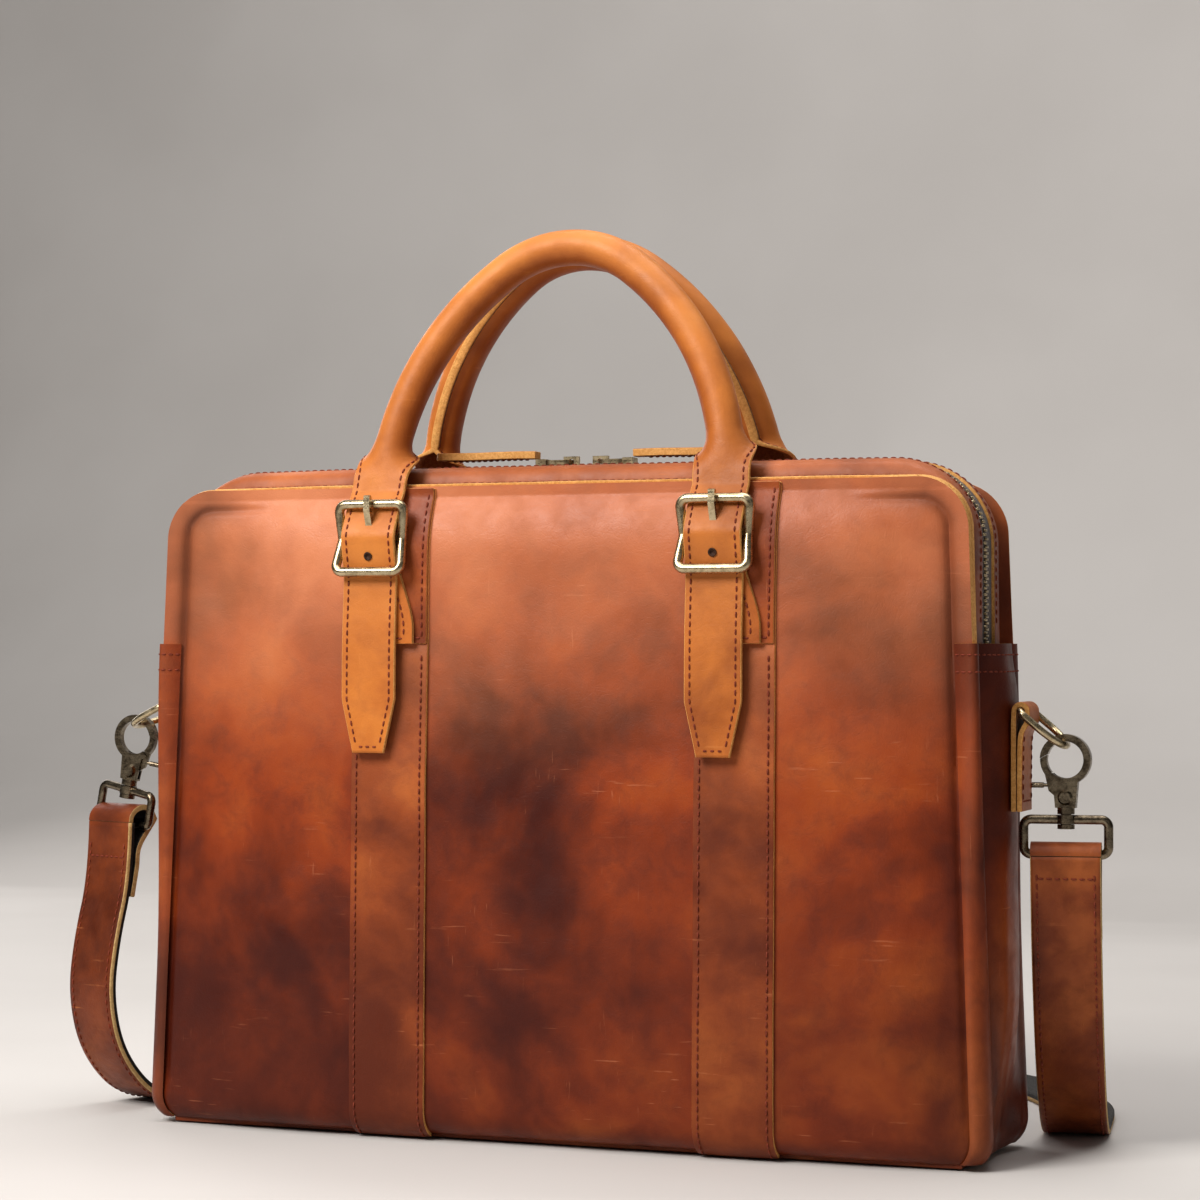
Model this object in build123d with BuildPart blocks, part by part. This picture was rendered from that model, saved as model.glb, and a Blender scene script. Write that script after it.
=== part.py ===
from build123d import *

import os
from math import asin, atan2, cos, degrees, radians, sin, sqrt, tan

# A zip-top leather briefcase with two rolled handles and a shoulder strap.
# Millimetres. X runs along the width, -Y is the front, +Z is up, and the origin
# is the centre of the base on the floor.

# ---- driving dimensions ----
WIDTH_BOTTOM = 400.0          # front panel, edge to edge, at the base
WIDTH_TOP = 380.0             # the same at the top seam
SEAM_HEIGHT = 293.0           # raw edge of the top seam
LEATHER = 2.4                 # thickness of the shell leather
LINING = 0.8

# Profile of a panel, as (distance from the middle plane, height) of its outer face.
DEPTH_BOTTOM = 47.0           # half depth at the top of the bottom roll
ROLL_RADIUS = 12.0
ROLL_HEIGHT = 14.0
WALL_TOP = 262.0              # where the wall ends and the shoulder starts
WALL_LEAN = 5.5               # how far the wall has leaned in by then
SHOULDER_RADIUS = 60.0
SHOULDER_TOP = 288.0

STRAP_X = 81.5                # handle straps and bands, either side of the middle
BAND_WIDTH = 36.5
BAND_SHIFT = 8.0              # the straps hang this far to the left of their bands
BAND_LEATHER = 2.0
STRAP_WIDTH = 26.0
STRAP_LEATHER = 2.2

# Buckles, in a plane leaning with the shoulder: across, up and out from the centre bar.
BUCKLE_Z = 269.0
BUCKLE_OUT = 46.4             # centre bar, out from the middle plane
BUCKLE_LEAN = 8.0
BUCKLE_HALF_WIDTH = 16.2
BUCKLE_WAIST = 14.6
BUCKLE_REACH = 15.4           # from the centre bar to each end bar
BUCKLE_BOW = 3.6              # how far the end bars stand out from the centre bar
BUCKLE_WIRE = 2.2
CENTRE_BAR = 1.6
CHAPE_LEATHER = 1.4
CHAPE_BOTTOM = 220.0
TAIL_TIP = 173.0

# Handles: a strap that rolls into a tube over a core, in a plane that leans inwards.
HINGE_OUT = 39.0
HINGE_Z = 292.6
HANDLE_LEAN = 11.5
HANDLE_HEIGHT = 112.5
TUBE_RADIUS = 7.7
CORE_RADIUS = 5.4
LEG_ARC = 128.0
TUBE_START = 20.0

# Zip, along a path over the top and down both sides.
ZIP_SIDE = 179.0              # path's distance from the middle at the sides
ZIP_TOP = 291.0
ZIP_CORNER = 26.0
ZIP_END = 221.0               # where the lower side panels take over
ZIP_CROWN = 12.0              # how far the zip stands above the seam
BAND_EDGE = 11.0              # half gap between the zip bands
TEETH_HALF = 2.6
ZIP_MEETING = 4.0             # where the two sliders meet, along X

# Side panels and their fittings.
SIDE_FOOT = 190.0             # side panel at its seams
SIDE_BULGE = 202.0            # side panel at its middle
SIDE_FLOOR = 4.6              # its lower edge, above the bottom rolls
SIDE_HALF_DEPTH = 36.4
TAB_WIDTH = 19.6
TAB_BOTTOM = 150.0
RING_BAR = (206.4, 193.0)     # D-ring's bar, out and up
DRING_DEPTH = 23.0
DRING_HALF = 13.0
DRING_WIRE = 1.6

# Snap hooks, about the centre of the eye: out from the bag, and up.
EYE_OUTER = 11.0
EYE_INNER = 7.9
HOOK_THICK = 3.6
RIVET_DROP = 16.2
GATE_REACH = 19.8               # the gate's tip swings on this arc, about the rivet
SHANK = 2.2
STRAP_RING_TOP = 25.6
STRAP_RING_BOTTOM = 40.6
STRAP_RING_HALF = 18.0
STRAP_RING_WIRE = 2.0
EYE_PLAY = 6.0                # the D-ring's wire above the eye's centre

# Shoulder strap.
WEB_WIDTH = 30.0
WEB_THICK = 4.0
FOLD_LEATHER = 3.0

# Per side: which way, D-ring's droop, hook's lean, ring's turn about the hook's axis.
SIDES = {
    "left": (-1, 26.0, 10.0, 20.0),
    "right": (1, 40.0, 0.0, -8.6),
}
# Room inside each folded end: the left ring hangs askew in a looser fold.
FOLD_ROOM = {"left": 5.2, "right": 2.5}

os.makedirs("parts", exist_ok=True)


def keep(part, name):
    """Label a finished piece and write it."""
    part.label = name
    export_step(part, f"parts/{name}.step")


def ribbon(points, thickness):
    """Outline of a bent strip of even thickness whose middle line is the points."""
    def normal(a, b):
        run = (b[0] - a[0], b[1] - a[1])
        size = sqrt(run[0] ** 2 + run[1] ** 2)
        return (-run[1] / size, run[0] / size)

    normals = [normal(a, b) for a, b in zip(points, points[1:])]
    left, right = [], []
    for i, (x, y) in enumerate(points):
        a = normals[max(i - 1, 0)]
        b = normals[min(i, len(normals) - 1)]
        mitre = thickness / (1 + a[0] * b[0] + a[1] * b[1])
        off = ((a[0] + b[0]) * mitre / 2, (a[1] + b[1]) * mitre / 2)
        left.append((x + off[0], y + off[1]))
        right.append((x - off[0], y - off[1]))
    return left + right[::-1]


def side_on(plane):
    """The plane seen from its own left side: u is its normal, v its up."""
    return Plane(origin=plane.origin, x_dir=plane.z_dir, z_dir=-plane.x_dir)


def face_plane(face, x, out, z, lean):
    """A plane facing out of the front (face 1) or rear (face -1), leaning inwards."""
    tilt = radians(lean)
    return Plane(
        origin=(x, -face * out, z),
        x_dir=(face, 0, 0),
        z_dir=(0, -face * cos(tilt), sin(tilt)),
    )


# ---- the profile of a panel ----
WALL_RADIUS = ((WALL_TOP - ROLL_HEIGHT) ** 2 + WALL_LEAN ** 2) / (2 * WALL_LEAN)
WALL_ANGLE = degrees(asin((WALL_TOP - ROLL_HEIGHT) / WALL_RADIUS))
SHOULDER_CENTRE = (
    DEPTH_BOTTOM - WALL_LEAN - SHOULDER_RADIUS * cos(radians(WALL_ANGLE)),
    WALL_TOP - SHOULDER_RADIUS * sin(radians(WALL_ANGLE)),
)
SHOULDER_ANGLE = degrees(asin((SHOULDER_TOP - SHOULDER_CENTRE[1]) / SHOULDER_RADIUS))


def wall_outline(inner, outer, roll_sweep, top_angle):
    """The strip between two offsets of a panel's outer face, as closed lines."""
    roll_centre = (DEPTH_BOTTOM - ROLL_RADIUS, ROLL_HEIGHT)
    wall_centre = (DEPTH_BOTTOM - WALL_RADIUS, ROLL_HEIGHT)
    ends = []
    for gap in (inner, outer):
        roll = CenterArc(roll_centre, ROLL_RADIUS + gap, -roll_sweep, roll_sweep)
        CenterArc(wall_centre, WALL_RADIUS + gap, 0, WALL_ANGLE)
        span = top_angle - WALL_ANGLE
        shoulder = CenterArc(SHOULDER_CENTRE, SHOULDER_RADIUS + gap, WALL_ANGLE, span)
        ends.append((roll @ 0, shoulder @ 1))
    Line(ends[0][0], ends[1][0])
    Line(ends[0][1], ends[1][1])


def section_plane(face, x):
    """The YZ section at x, with u pointing out of that face and v up."""
    return Plane(origin=(x, 0, 0), x_dir=(0, -face, 0), z_dir=(-face, 0, 0))


def outer_face(z):
    """How far a panel's outer face is from the middle plane at a height."""
    if z <= WALL_TOP:
        drop = WALL_RADIUS - sqrt(WALL_RADIUS ** 2 - (z - ROLL_HEIGHT) ** 2)
        return DEPTH_BOTTOM - drop
    rise = z - SHOULDER_CENTRE[1]
    return SHOULDER_CENTRE[0] + sqrt(SHOULDER_RADIUS ** 2 - rise ** 2)


# ---- front and rear panels ----
for face, face_name in ((1, "front"), (-1, "rear")):
    with BuildPart() as panel:
        with BuildSketch(section_plane(face, 0)):
            with BuildLine():
                wall_outline(-LEATHER, 0, 90, SHOULDER_ANGLE)
            make_face()
            seam_out = outer_face(SHOULDER_TOP)
            with Locations((seam_out - LEATHER / 2, (SHOULDER_TOP + SEAM_HEIGHT) / 2 - 1)):
                Rectangle(LEATHER, SEAM_HEIGHT - SHOULDER_TOP + 2)
        extrude(amount=WIDTH_BOTTOM, both=True)
        with BuildSketch(Plane.XZ):
            half_top, half_low = WIDTH_TOP / 2, WIDTH_BOTTOM / 2
            with BuildLine():
                Polyline(
                    (-half_low, 0), (half_low, 0), (half_top, SEAM_HEIGHT),
                    (-half_top, SEAM_HEIGHT), close=True,
                )
            make_face()
            fillet(vertices().group_by(Axis.Y)[-1], 22)
        extrude(amount=100, both=True, mode=Mode.INTERSECT)
    keep(panel.part, f"{face_name}_panel")

# ---- base panel and the stiff board above it ----
with BuildPart() as base:
    with BuildSketch(Plane.XY):
        Rectangle(WIDTH_BOTTOM - 16, 2 * (DEPTH_BOTTOM - ROLL_RADIUS) + 6)
    extrude(amount=2.0)
keep(base.part, "base_panel")

with BuildPart() as board:
    with BuildSketch(Plane.XY.offset(5.4)):
        Rectangle(2 * SIDE_FOOT - 22, 2 * (DEPTH_BOTTOM - ROLL_RADIUS) - 4)
        fillet(vertices(), 8)
    extrude(amount=2.0)
keep(board.part, "base_board")


# ---- lower side panels: bowed outwards, up to where the zip ends ----
def bowed(foot, middle, half_depth, thickness):
    """Plan outline of a side wall that bows out between its two seams."""
    ThreePointArc((foot, -half_depth), (middle, 0), (foot, half_depth))
    ThreePointArc(
        (foot - thickness, -half_depth),
        (middle - thickness, 0),
        (foot - thickness, half_depth),
    )
    Line((foot, -half_depth), (foot - thickness, -half_depth))
    Line((foot, half_depth), (foot - thickness, half_depth))


for side_name, (side, droop, lean, turn) in SIDES.items():
    plan = Plane(origin=(0, 0, SIDE_FLOOR), x_dir=(side, 0, 0), z_dir=(0, 0, 1))
    with BuildPart() as gusset:
        with BuildSketch(plan):
            with BuildLine():
                bowed(SIDE_FOOT, SIDE_BULGE, SIDE_HALF_DEPTH, LEATHER)
            make_face()
        extrude(amount=ZIP_END - 0.2 - SIDE_FLOOR)
    keep(gusset.part, f"{side_name}_side_panel")


# ---- zip bands, tape and teeth: strips swept over the top and down the sides ----
def swept_strip(points, thickness):
    """A strip with the given (depth, rise) section, swept along the zip's path."""
    with BuildPart() as strip:
        with BuildLine(Plane.XZ) as path:
            FilletPolyline(
                (-ZIP_SIDE, ZIP_END), (-ZIP_SIDE, ZIP_TOP), (ZIP_SIDE, ZIP_TOP),
                (ZIP_SIDE, ZIP_END), radius=ZIP_CORNER,
            )
        start = Plane(origin=(-ZIP_SIDE, 0, ZIP_END), x_dir=(0, 1, 0), z_dir=(0, 0, 1))
        with BuildSketch(start):
            with BuildLine():
                Polyline(*ribbon(points, thickness), close=True)
            make_face()
        sweep(path=path.line)
    return strip.part


SEAM_OUT = outer_face(SHOULDER_TOP)
for face, face_name in ((1, "front"), (-1, "rear")):
    band_points = [
        (-face * (SEAM_OUT - LEATHER - 1.2), 0),
        (-face * (SEAM_OUT - LEATHER - 3.0), 4.0),
        (-face * (SEAM_OUT - 12.0), 9.0),
        (-face * BAND_EDGE, ZIP_CROWN - 1.0),
    ]
    keep(swept_strip(band_points, 2.0), f"{face_name}_zip_band")

TAPE_RISE = ZIP_CROWN - 3.2
tape_sides = []
for face in (1, -1):
    tape_sides.append(
        swept_strip([(face * 4.4, TAPE_RISE), (face * 15.0, TAPE_RISE - 0.6)], 0.8)
    )
keep(Compound(children=tape_sides), "zip_tape")

TEETH_RISE = ZIP_CROWN - 2.4
keep(swept_strip([(-TEETH_HALF, TEETH_RISE), (TEETH_HALF, TEETH_RISE)], 2.4), "zip_teeth")

# ---- vertical bands on both panels ----
for face, face_name in ((1, "front"), (-1, "rear")):
    for x_side, x_name in ((-1, "left"), (1, "right")):
        with BuildPart() as band:
            with BuildSketch(section_plane(face, x_side * STRAP_X + face * BAND_SHIFT)):
                with BuildLine():
                    wall_outline(0.05, BAND_LEATHER + 0.05, 72, SHOULDER_ANGLE - 1)
                make_face()
            extrude(amount=BAND_WIDTH / 2, both=True)
        keep(band.part, f"{face_name}_{x_name}_band")


# ---- buckles, prongs, chapes and strap tails ----
def buckle_frame(place):
    """A double-loop frame, bowed and waisted at its centre bar."""
    bow = degrees(atan2(BUCKLE_BOW, BUCKLE_REACH))
    reach = sqrt(BUCKLE_REACH ** 2 + BUCKLE_BOW ** 2)
    with BuildPart() as frame:
        for way in (1, -1):
            tilt = radians(bow)
            up = place.y_dir * (way * cos(tilt)) + place.z_dir * sin(tilt)
            loop = Plane(origin=place.origin, x_dir=place.x_dir, z_dir=place.x_dir.cross(up))
            with BuildLine(loop) as wire:
                FilletPolyline(
                    (-BUCKLE_WAIST, 0), (-BUCKLE_HALF_WIDTH, reach),
                    (BUCKLE_HALF_WIDTH, reach), (BUCKLE_WAIST, 0), radius=3.6,
                )
            with BuildSketch(Plane(origin=wire.line @ 0, z_dir=wire.line % 0)):
                Circle(BUCKLE_WIRE)
            sweep(path=wire.line)
        for x in (-BUCKLE_WAIST, BUCKLE_WAIST):
            with Locations(place.from_local_coords((x, 0, 0))):
                Sphere(BUCKLE_WIRE)
        across = side_on(place)
        with BuildSketch(across):
            Circle(CENTRE_BAR)
        extrude(amount=BUCKLE_WAIST, both=True)
    return frame.part


def prong(place):
    """A tongue that turns on the centre bar and rests on the front of the top bar."""
    with BuildPart() as tongue:
        with BuildSketch(side_on(place)):
            Circle(CENTRE_BAR + 1.25)
            with BuildLine():
                Polyline(
                    (0.6, 1.9), (2.3, 0.6), (8.6, 12.2), (8.9, 18.2), (7.9, 18.8),
                    (6.5, 18.0), (6.3, 12.8), close=True,
                )
            make_face()
            Circle(CENTRE_BAR + 0.06, mode=Mode.SUBTRACT)
        extrude(amount=1.5, both=True)
    return tongue.part


def chape(face, x):
    """Leather folded round the centre bar, slit for the prong, sewn down to the band."""
    outer = CENTRE_BAR + 0.08 + CHAPE_LEATHER
    low = CHAPE_BOTTOM
    back = outer_face(low) + BAND_LEATHER + 0.2
    knee = outer_face(WALL_TOP - 10) + BAND_LEATHER + 0.2
    with BuildPart() as loop:
        with BuildSketch(section_plane(face, x)):
            with Locations((BUCKLE_OUT, BUCKLE_Z)):
                Circle(outer)
            with BuildLine():
                Polyline(
                    (BUCKLE_OUT - outer + 0.05, BUCKLE_Z - 1), (knee, WALL_TOP - 10),
                    (back, low), (back + 2 * CHAPE_LEATHER, low),
                    (knee + 2 * CHAPE_LEATHER, WALL_TOP - 10),
                    (BUCKLE_OUT + outer - 0.3, BUCKLE_Z - 1), close=True,
                )
            make_face()
            with Locations((BUCKLE_OUT, BUCKLE_Z)):
                Circle(CENTRE_BAR + 0.08, mode=Mode.SUBTRACT)
        extrude(amount=11.5, both=True)
        with BuildSketch(section_plane(face, x)):
            with Locations((BUCKLE_OUT, BUCKLE_Z)):
                Rectangle(12, 12)
        extrude(amount=1.9, both=True, mode=Mode.SUBTRACT)
    return loop.part


def strap_tail(face, x):
    """The handle's strap from its fold, through the buckle, down to the pointed tip."""
    over_bar = BUCKLE_OUT + CENTRE_BAR + CHAPE_LEATHER + 0.3 + STRAP_LEATHER / 2
    line = [
        (HINGE_OUT + 1.1, HINGE_Z - 2.2),
        (44.0, BUCKLE_Z + BUCKLE_REACH - 0.5),
        (over_bar, BUCKLE_Z + 2.5),
        (over_bar, BUCKLE_Z - 2.5),
        (48.2, BUCKLE_Z - BUCKLE_REACH - 1),
        (49.8, CHAPE_BOTTOM + 4),
        (50.3, TAIL_TIP),
    ]
    point_half = 7.5
    shoulder = TAIL_TIP + 24
    top = HINGE_Z + 1
    half = STRAP_WIDTH / 2
    with BuildPart() as tail:
        with BuildSketch(section_plane(face, x)):
            with BuildLine():
                Polyline(*ribbon(line, STRAP_LEATHER), close=True)
            make_face()
        extrude(amount=half, both=True)
        with BuildSketch(Plane.XZ):
            with BuildLine():
                Polyline(
                    (x - half, top), (x - half, shoulder), (x - point_half, TAIL_TIP - 1),
                    (x + point_half, TAIL_TIP - 1), (x + half, shoulder), (x + half, top),
                    close=True,
                )
            make_face()
        extrude(amount=80, both=True, mode=Mode.INTERSECT)
        with BuildSketch(Plane.XZ):
            with Locations((x, BUCKLE_Z + 5.4)):
                SlotOverall(13.2, 4.2, rotation=90)
            with Locations((x, BUCKLE_Z - 8)):
                Circle(2.0)
        extrude(amount=80, both=True, mode=Mode.SUBTRACT)
    return tail.part


for face, face_name in ((1, "front"), (-1, "rear")):
    for x_side, x_name in ((-1, "left"), (1, "right")):
        x = x_side * STRAP_X
        place = face_plane(face, x, BUCKLE_OUT, BUCKLE_Z, BUCKLE_LEAN)
        keep(buckle_frame(place), f"{face_name}_{x_name}_buckle")
        keep(prong(place), f"{face_name}_{x_name}_prong")
        keep(chape(face, x), f"{face_name}_{x_name}_chape")
        keep(strap_tail(face, x), f"{face_name}_{x_name}_strap_tail")

# ---- handles ----
LEG_CENTRE = STRAP_X - LEG_ARC
CROWN_ARC = (LEG_ARC ** 2 - LEG_CENTRE ** 2 - HANDLE_HEIGHT ** 2) / (
    2 * (LEG_ARC - HANDLE_HEIGHT)
)
CROWN_CENTRE = HANDLE_HEIGHT - CROWN_ARC
JOIN_ANGLE = degrees(atan2(CROWN_CENTRE, -LEG_CENTRE))


def handle_path(plane, start_height):
    """Three tangent arcs: a leg, the crown and the other leg."""
    start = degrees(asin(start_height / LEG_ARC))
    with BuildLine(plane) as path:
        CenterArc((LEG_CENTRE, 0), LEG_ARC, start, JOIN_ANGLE - start)
        CenterArc((0, CROWN_CENTRE), CROWN_ARC, JOIN_ANGLE, 180 - 2 * JOIN_ANGLE)
        CenterArc((-LEG_CENTRE, 0), LEG_ARC, 180 - JOIN_ANGLE, JOIN_ANGLE - start)
    return path


def handle_tube(plane, radius, start_height):
    """A round bar along the handle's path."""
    with BuildPart() as bar:
        path = handle_path(plane, start_height)
        with BuildSketch(Plane(origin=path.line @ 0, z_dir=path.line % 0)):
            Circle(radius)
        sweep(path=path.line)
    return bar.part


for face, face_name in ((1, "front"), (-1, "rear")):
    hinge = face_plane(face, 0, HINGE_OUT, HINGE_Z, HANDLE_LEAN)
    tube_plane = hinge.offset(STRAP_LEATHER / 2 - TUBE_RADIUS)
    core = handle_tube(tube_plane, CORE_RADIUS, TUBE_START + 2)
    keep(core, f"{face_name}_handle_core")
    with BuildPart() as handle:
        add(handle_tube(tube_plane, TUBE_RADIUS, TUBE_START))
        add(handle_tube(tube_plane, CORE_RADIUS, TUBE_START - 1), mode=Mode.SUBTRACT)
        with BuildSketch(hinge.offset(-STRAP_LEATHER / 2)):
            for x_side in (-1, 1):
                x = x_side * STRAP_X
                with BuildLine():
                    Polyline(
                        (x - STRAP_WIDTH / 2, 0), (x + STRAP_WIDTH / 2, 0),
                        (x + 5 - 2 * x_side, TUBE_START + 8),
                        (x - 5 - 2 * x_side, TUBE_START + 8),
                        close=True,
                    )
                make_face()
        extrude(amount=STRAP_LEATHER)
        for x_side in (-1, 1):
            knuckle = side_on(
                Plane(hinge.from_local_coords((x_side * STRAP_X, 0, 0)), hinge.x_dir, hinge.z_dir)
            )
            with BuildSketch(knuckle):
                Circle(STRAP_LEATHER / 2)
            extrude(amount=STRAP_WIDTH / 2, both=True)
    keep(handle.part, f"{face_name}_handle")

# ---- zip sliders and their pulls ----
SLIDER_LENGTH = 13.0
SLIDER_TOP = ZIP_TOP + TEETH_RISE + 2.7
PIVOT_Z = SLIDER_TOP + 1.45
for side_name, side in (("left", -1), ("right", 1)):
    nose = ZIP_MEETING + side * 0.6
    middle = nose + side * SLIDER_LENGTH / 2
    with BuildPart() as slider:
        with BuildSketch(Plane.YZ.offset(middle)):
            with Locations((0, ZIP_TOP + TEETH_RISE)):
                Rectangle(7.4, 5.4)
                Rectangle(2 * TEETH_HALF + 0.5, 2.9, mode=Mode.SUBTRACT)
        extrude(amount=SLIDER_LENGTH / 2, both=True)
        with BuildSketch(Plane.XZ):
            with Locations((middle, PIVOT_Z + 0.3)):
                Rectangle(7.4, 4.6)
            with Locations((middle, PIVOT_Z)):
                Circle(1.5, mode=Mode.SUBTRACT)
        extrude(amount=1.0, both=True)
    keep(slider.part, f"{side_name}_slider")

    with BuildPart() as pull_ring:
        with BuildSketch(Plane.XY.offset(PIVOT_Z)) as outline:
            with Locations((middle + side * 6.0, 0)):
                SlotOverall(14.0, 8.0)
                SlotOverall(10.0, 4.4, mode=Mode.SUBTRACT)
        extrude(amount=0.95, both=True)
        with BuildSketch(Plane.XY.offset(PIVOT_Z)):
            with Locations((middle + side * 14.0, 0)):
                Rectangle(5.0, 7.0)
        extrude(amount=1.5, both=True)
    keep(pull_ring.part, f"{side_name}_pull_ring")

    with BuildPart() as pull:
        start, end = middle + side * 16.6, middle + side * 66.0
        with BuildSketch(Plane.XY.offset(PIVOT_Z)):
            with BuildLine():
                Polyline((start, -3.4), (end, -5.5), (end, 5.5), (start, 3.4), close=True)
            make_face()
            fillet(vertices(), 1.5)
        extrude(amount=1.8, both=True)
    keep(pull.part, f"{side_name}_pull_leather")


# ---- side fittings: tab, D-ring, snap hook with its gate, rivet and strap ring ----
def clip_plane(side, droop, lean):
    """The plane of a snap hook's eye: across points out of the bag, up is its axis."""
    tip_out = RING_BAR[0] + DRING_DEPTH * cos(radians(droop))
    tip_up = RING_BAR[1] - DRING_DEPTH * sin(radians(droop))
    tilt = radians(lean)
    centre_out = tip_out + EYE_PLAY * sin(tilt)
    centre_up = tip_up - EYE_PLAY * cos(tilt)
    return Plane(
        origin=(side * centre_out, 0, centre_up),
        x_dir=(side * cos(tilt), 0, sin(tilt)),
        z_dir=(0, -side, 0),
    )


def eye_sector(inner, outer, start, end):
    """A ring's sector between two angles, as closed lines."""
    a = CenterArc((0, 0), inner, start, end - start)
    b = CenterArc((0, 0), outer, start, end - start)
    Line(a @ 0, b @ 0)
    Line(a @ 1, b @ 1)


def snap_hook(clip):
    """Eye with a gap towards the bag, rivet plate, collar and shank with its head."""
    stem = Plane(origin=clip.from_local_coords((0, 0, 0)), x_dir=clip.x_dir, z_dir=-clip.y_dir)
    with BuildPart() as hook:
        with BuildSketch(clip.offset(-HOOK_THICK / 2)):
            with BuildLine():
                eye_sector(EYE_INNER, EYE_OUTER, 150, 180)
            make_face()
            with Locations((0, -RIVET_DROP)):
                Circle(GATE_REACH + 0.25, mode=Mode.SUBTRACT)
            with BuildLine():
                eye_sector(EYE_INNER, EYE_OUTER, -134, 151)
            make_face()
            with BuildLine():
                Polyline(
                    (-5.4, -9.2), (-4.4, -20.6), (4.4, -20.6), (5.4, -9.2), close=True
                )
            make_face()
            Circle(EYE_INNER, mode=Mode.SUBTRACT)
        extrude(amount=HOOK_THICK)
        with BuildSketch(clip.offset(-0.95)):
            with Locations((-4.4, -12.4)):
                Rectangle(14.8, 14.6)
        extrude(amount=1.9, mode=Mode.SUBTRACT)
        with BuildSketch(stem.offset(20.4)):
            Circle(3.7)
        extrude(amount=2.8)
        with BuildSketch(stem.offset(22.8)):
            Circle(SHANK)
        extrude(amount=6.4)
        with BuildSketch(stem.offset(27.7)):
            Circle(3.7)
        extrude(amount=1.9)
        with BuildSketch(clip.offset(-HOOK_THICK)):
            with Locations((0, -RIVET_DROP)):
                Circle(1.5)
        extrude(amount=2 * HOOK_THICK, mode=Mode.SUBTRACT)
    return hook.part


def gate(clip):
    """Sprung gate that closes the eye, with its tongue on the rivet and its thumb pin."""
    with BuildPart() as leaf:
        with BuildSketch(clip.offset(-1.5)):
            with BuildLine():
                eye_sector(EYE_INNER + 0.1, EYE_OUTER - 0.1, 150, 222)
            make_face()
            with Locations((0, -RIVET_DROP)):
                Circle(GATE_REACH, mode=Mode.INTERSECT)
        extrude(amount=3.0)
        with BuildSketch(clip.offset(-0.75)):
            with BuildLine():
                Polyline(
                    (-9.3, -5.0), (-5.4, -6.0), (-3.4, -12.6), (1.4, -13.6), (0, -RIVET_DROP),
                    (-2.6, -17.4), (-7.4, -13.4), close=True,
                )
            make_face()
            with Locations((0, -RIVET_DROP)):
                Circle(3.0)
                Circle(1.58, mode=Mode.SUBTRACT)
        extrude(amount=1.5)
        pin = Plane(origin=clip.from_local_coords((-5.6, -11.0, 0)), z_dir=-clip.x_dir)
        with BuildSketch(pin):
            Circle(0.75)
        extrude(amount=4.4)
        with BuildSketch(pin.offset(4.1)):
            Circle(1.2)
        extrude(amount=4.9)
    return leaf.part


def rivet(clip):
    """Pin through the hook and the gate, with a low dome on each face."""
    with BuildPart() as pin:
        with BuildSketch(clip.offset(-HOOK_THICK / 2 - 0.9)):
            with Locations((0, -RIVET_DROP)):
                Circle(1.5)
        extrude(amount=HOOK_THICK + 1.8)
        for way in (-1, 1):
            foot = clip.offset(way * HOOK_THICK / 2)
            with BuildSketch(foot):
                with Locations((0, -RIVET_DROP)):
                    Circle(3.3)
            extrude(amount=way * 1.3, taper=35)
    return pin.part


def ring_plane(clip, turn):
    """The hook's plane turned about the hook's own axis."""
    angle = radians(turn)
    across = clip.x_dir * cos(angle) + clip.z_dir * sin(angle)
    return Plane(origin=clip.origin, x_dir=across, z_dir=across.cross(clip.y_dir))


def strap_ring(clip, turn):
    """Rectangular wire ring with a boss in its top bar that turns on the shank."""
    plane = ring_plane(clip, turn)
    stem = Plane(origin=clip.origin, x_dir=clip.x_dir, z_dir=-clip.y_dir)
    with BuildPart() as ring:
        with BuildLine(plane) as loop:
            FilletPolyline(
                (-STRAP_RING_HALF, -STRAP_RING_BOTTOM), (STRAP_RING_HALF, -STRAP_RING_BOTTOM),
                (STRAP_RING_HALF, -STRAP_RING_TOP), (-STRAP_RING_HALF, -STRAP_RING_TOP),
                radius=3.2, close=True,
            )
        with BuildSketch(Plane(origin=loop.line @ 0, z_dir=loop.line % 0)):
            Circle(STRAP_RING_WIRE)
        sweep(path=loop.line)
        with BuildSketch(stem.offset(23.6)):
            Circle(4.0)
        extrude(amount=3.8)
        with BuildSketch(stem.offset(20)):
            Circle(SHANK + 0.06)
        extrude(amount=10, mode=Mode.SUBTRACT)
    return ring.part


def d_ring(side, droop):
    """D-shaped wire ring, its bar along Y in the tab."""
    down = Vector(side * cos(radians(droop)), 0, -sin(radians(droop)))
    across = Vector(0, 1, 0)
    plane = Plane(
        origin=(side * RING_BAR[0], 0, RING_BAR[1]), x_dir=across, z_dir=across.cross(down)
    )
    tip = DRING_HALF - 0.1
    with BuildPart() as ring:
        with BuildLine(plane) as loop:
            FilletPolyline(
                (-DRING_HALF, 0), (DRING_HALF, 0), (DRING_HALF, DRING_DEPTH),
                (-DRING_HALF, DRING_DEPTH), radius=(3, 3, tip, tip), close=True,
            )
        with BuildSketch(Plane(origin=loop.line @ 0, z_dir=loop.line % 0)):
            Circle(DRING_WIRE)
        sweep(path=loop.line)
    return ring.part


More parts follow.
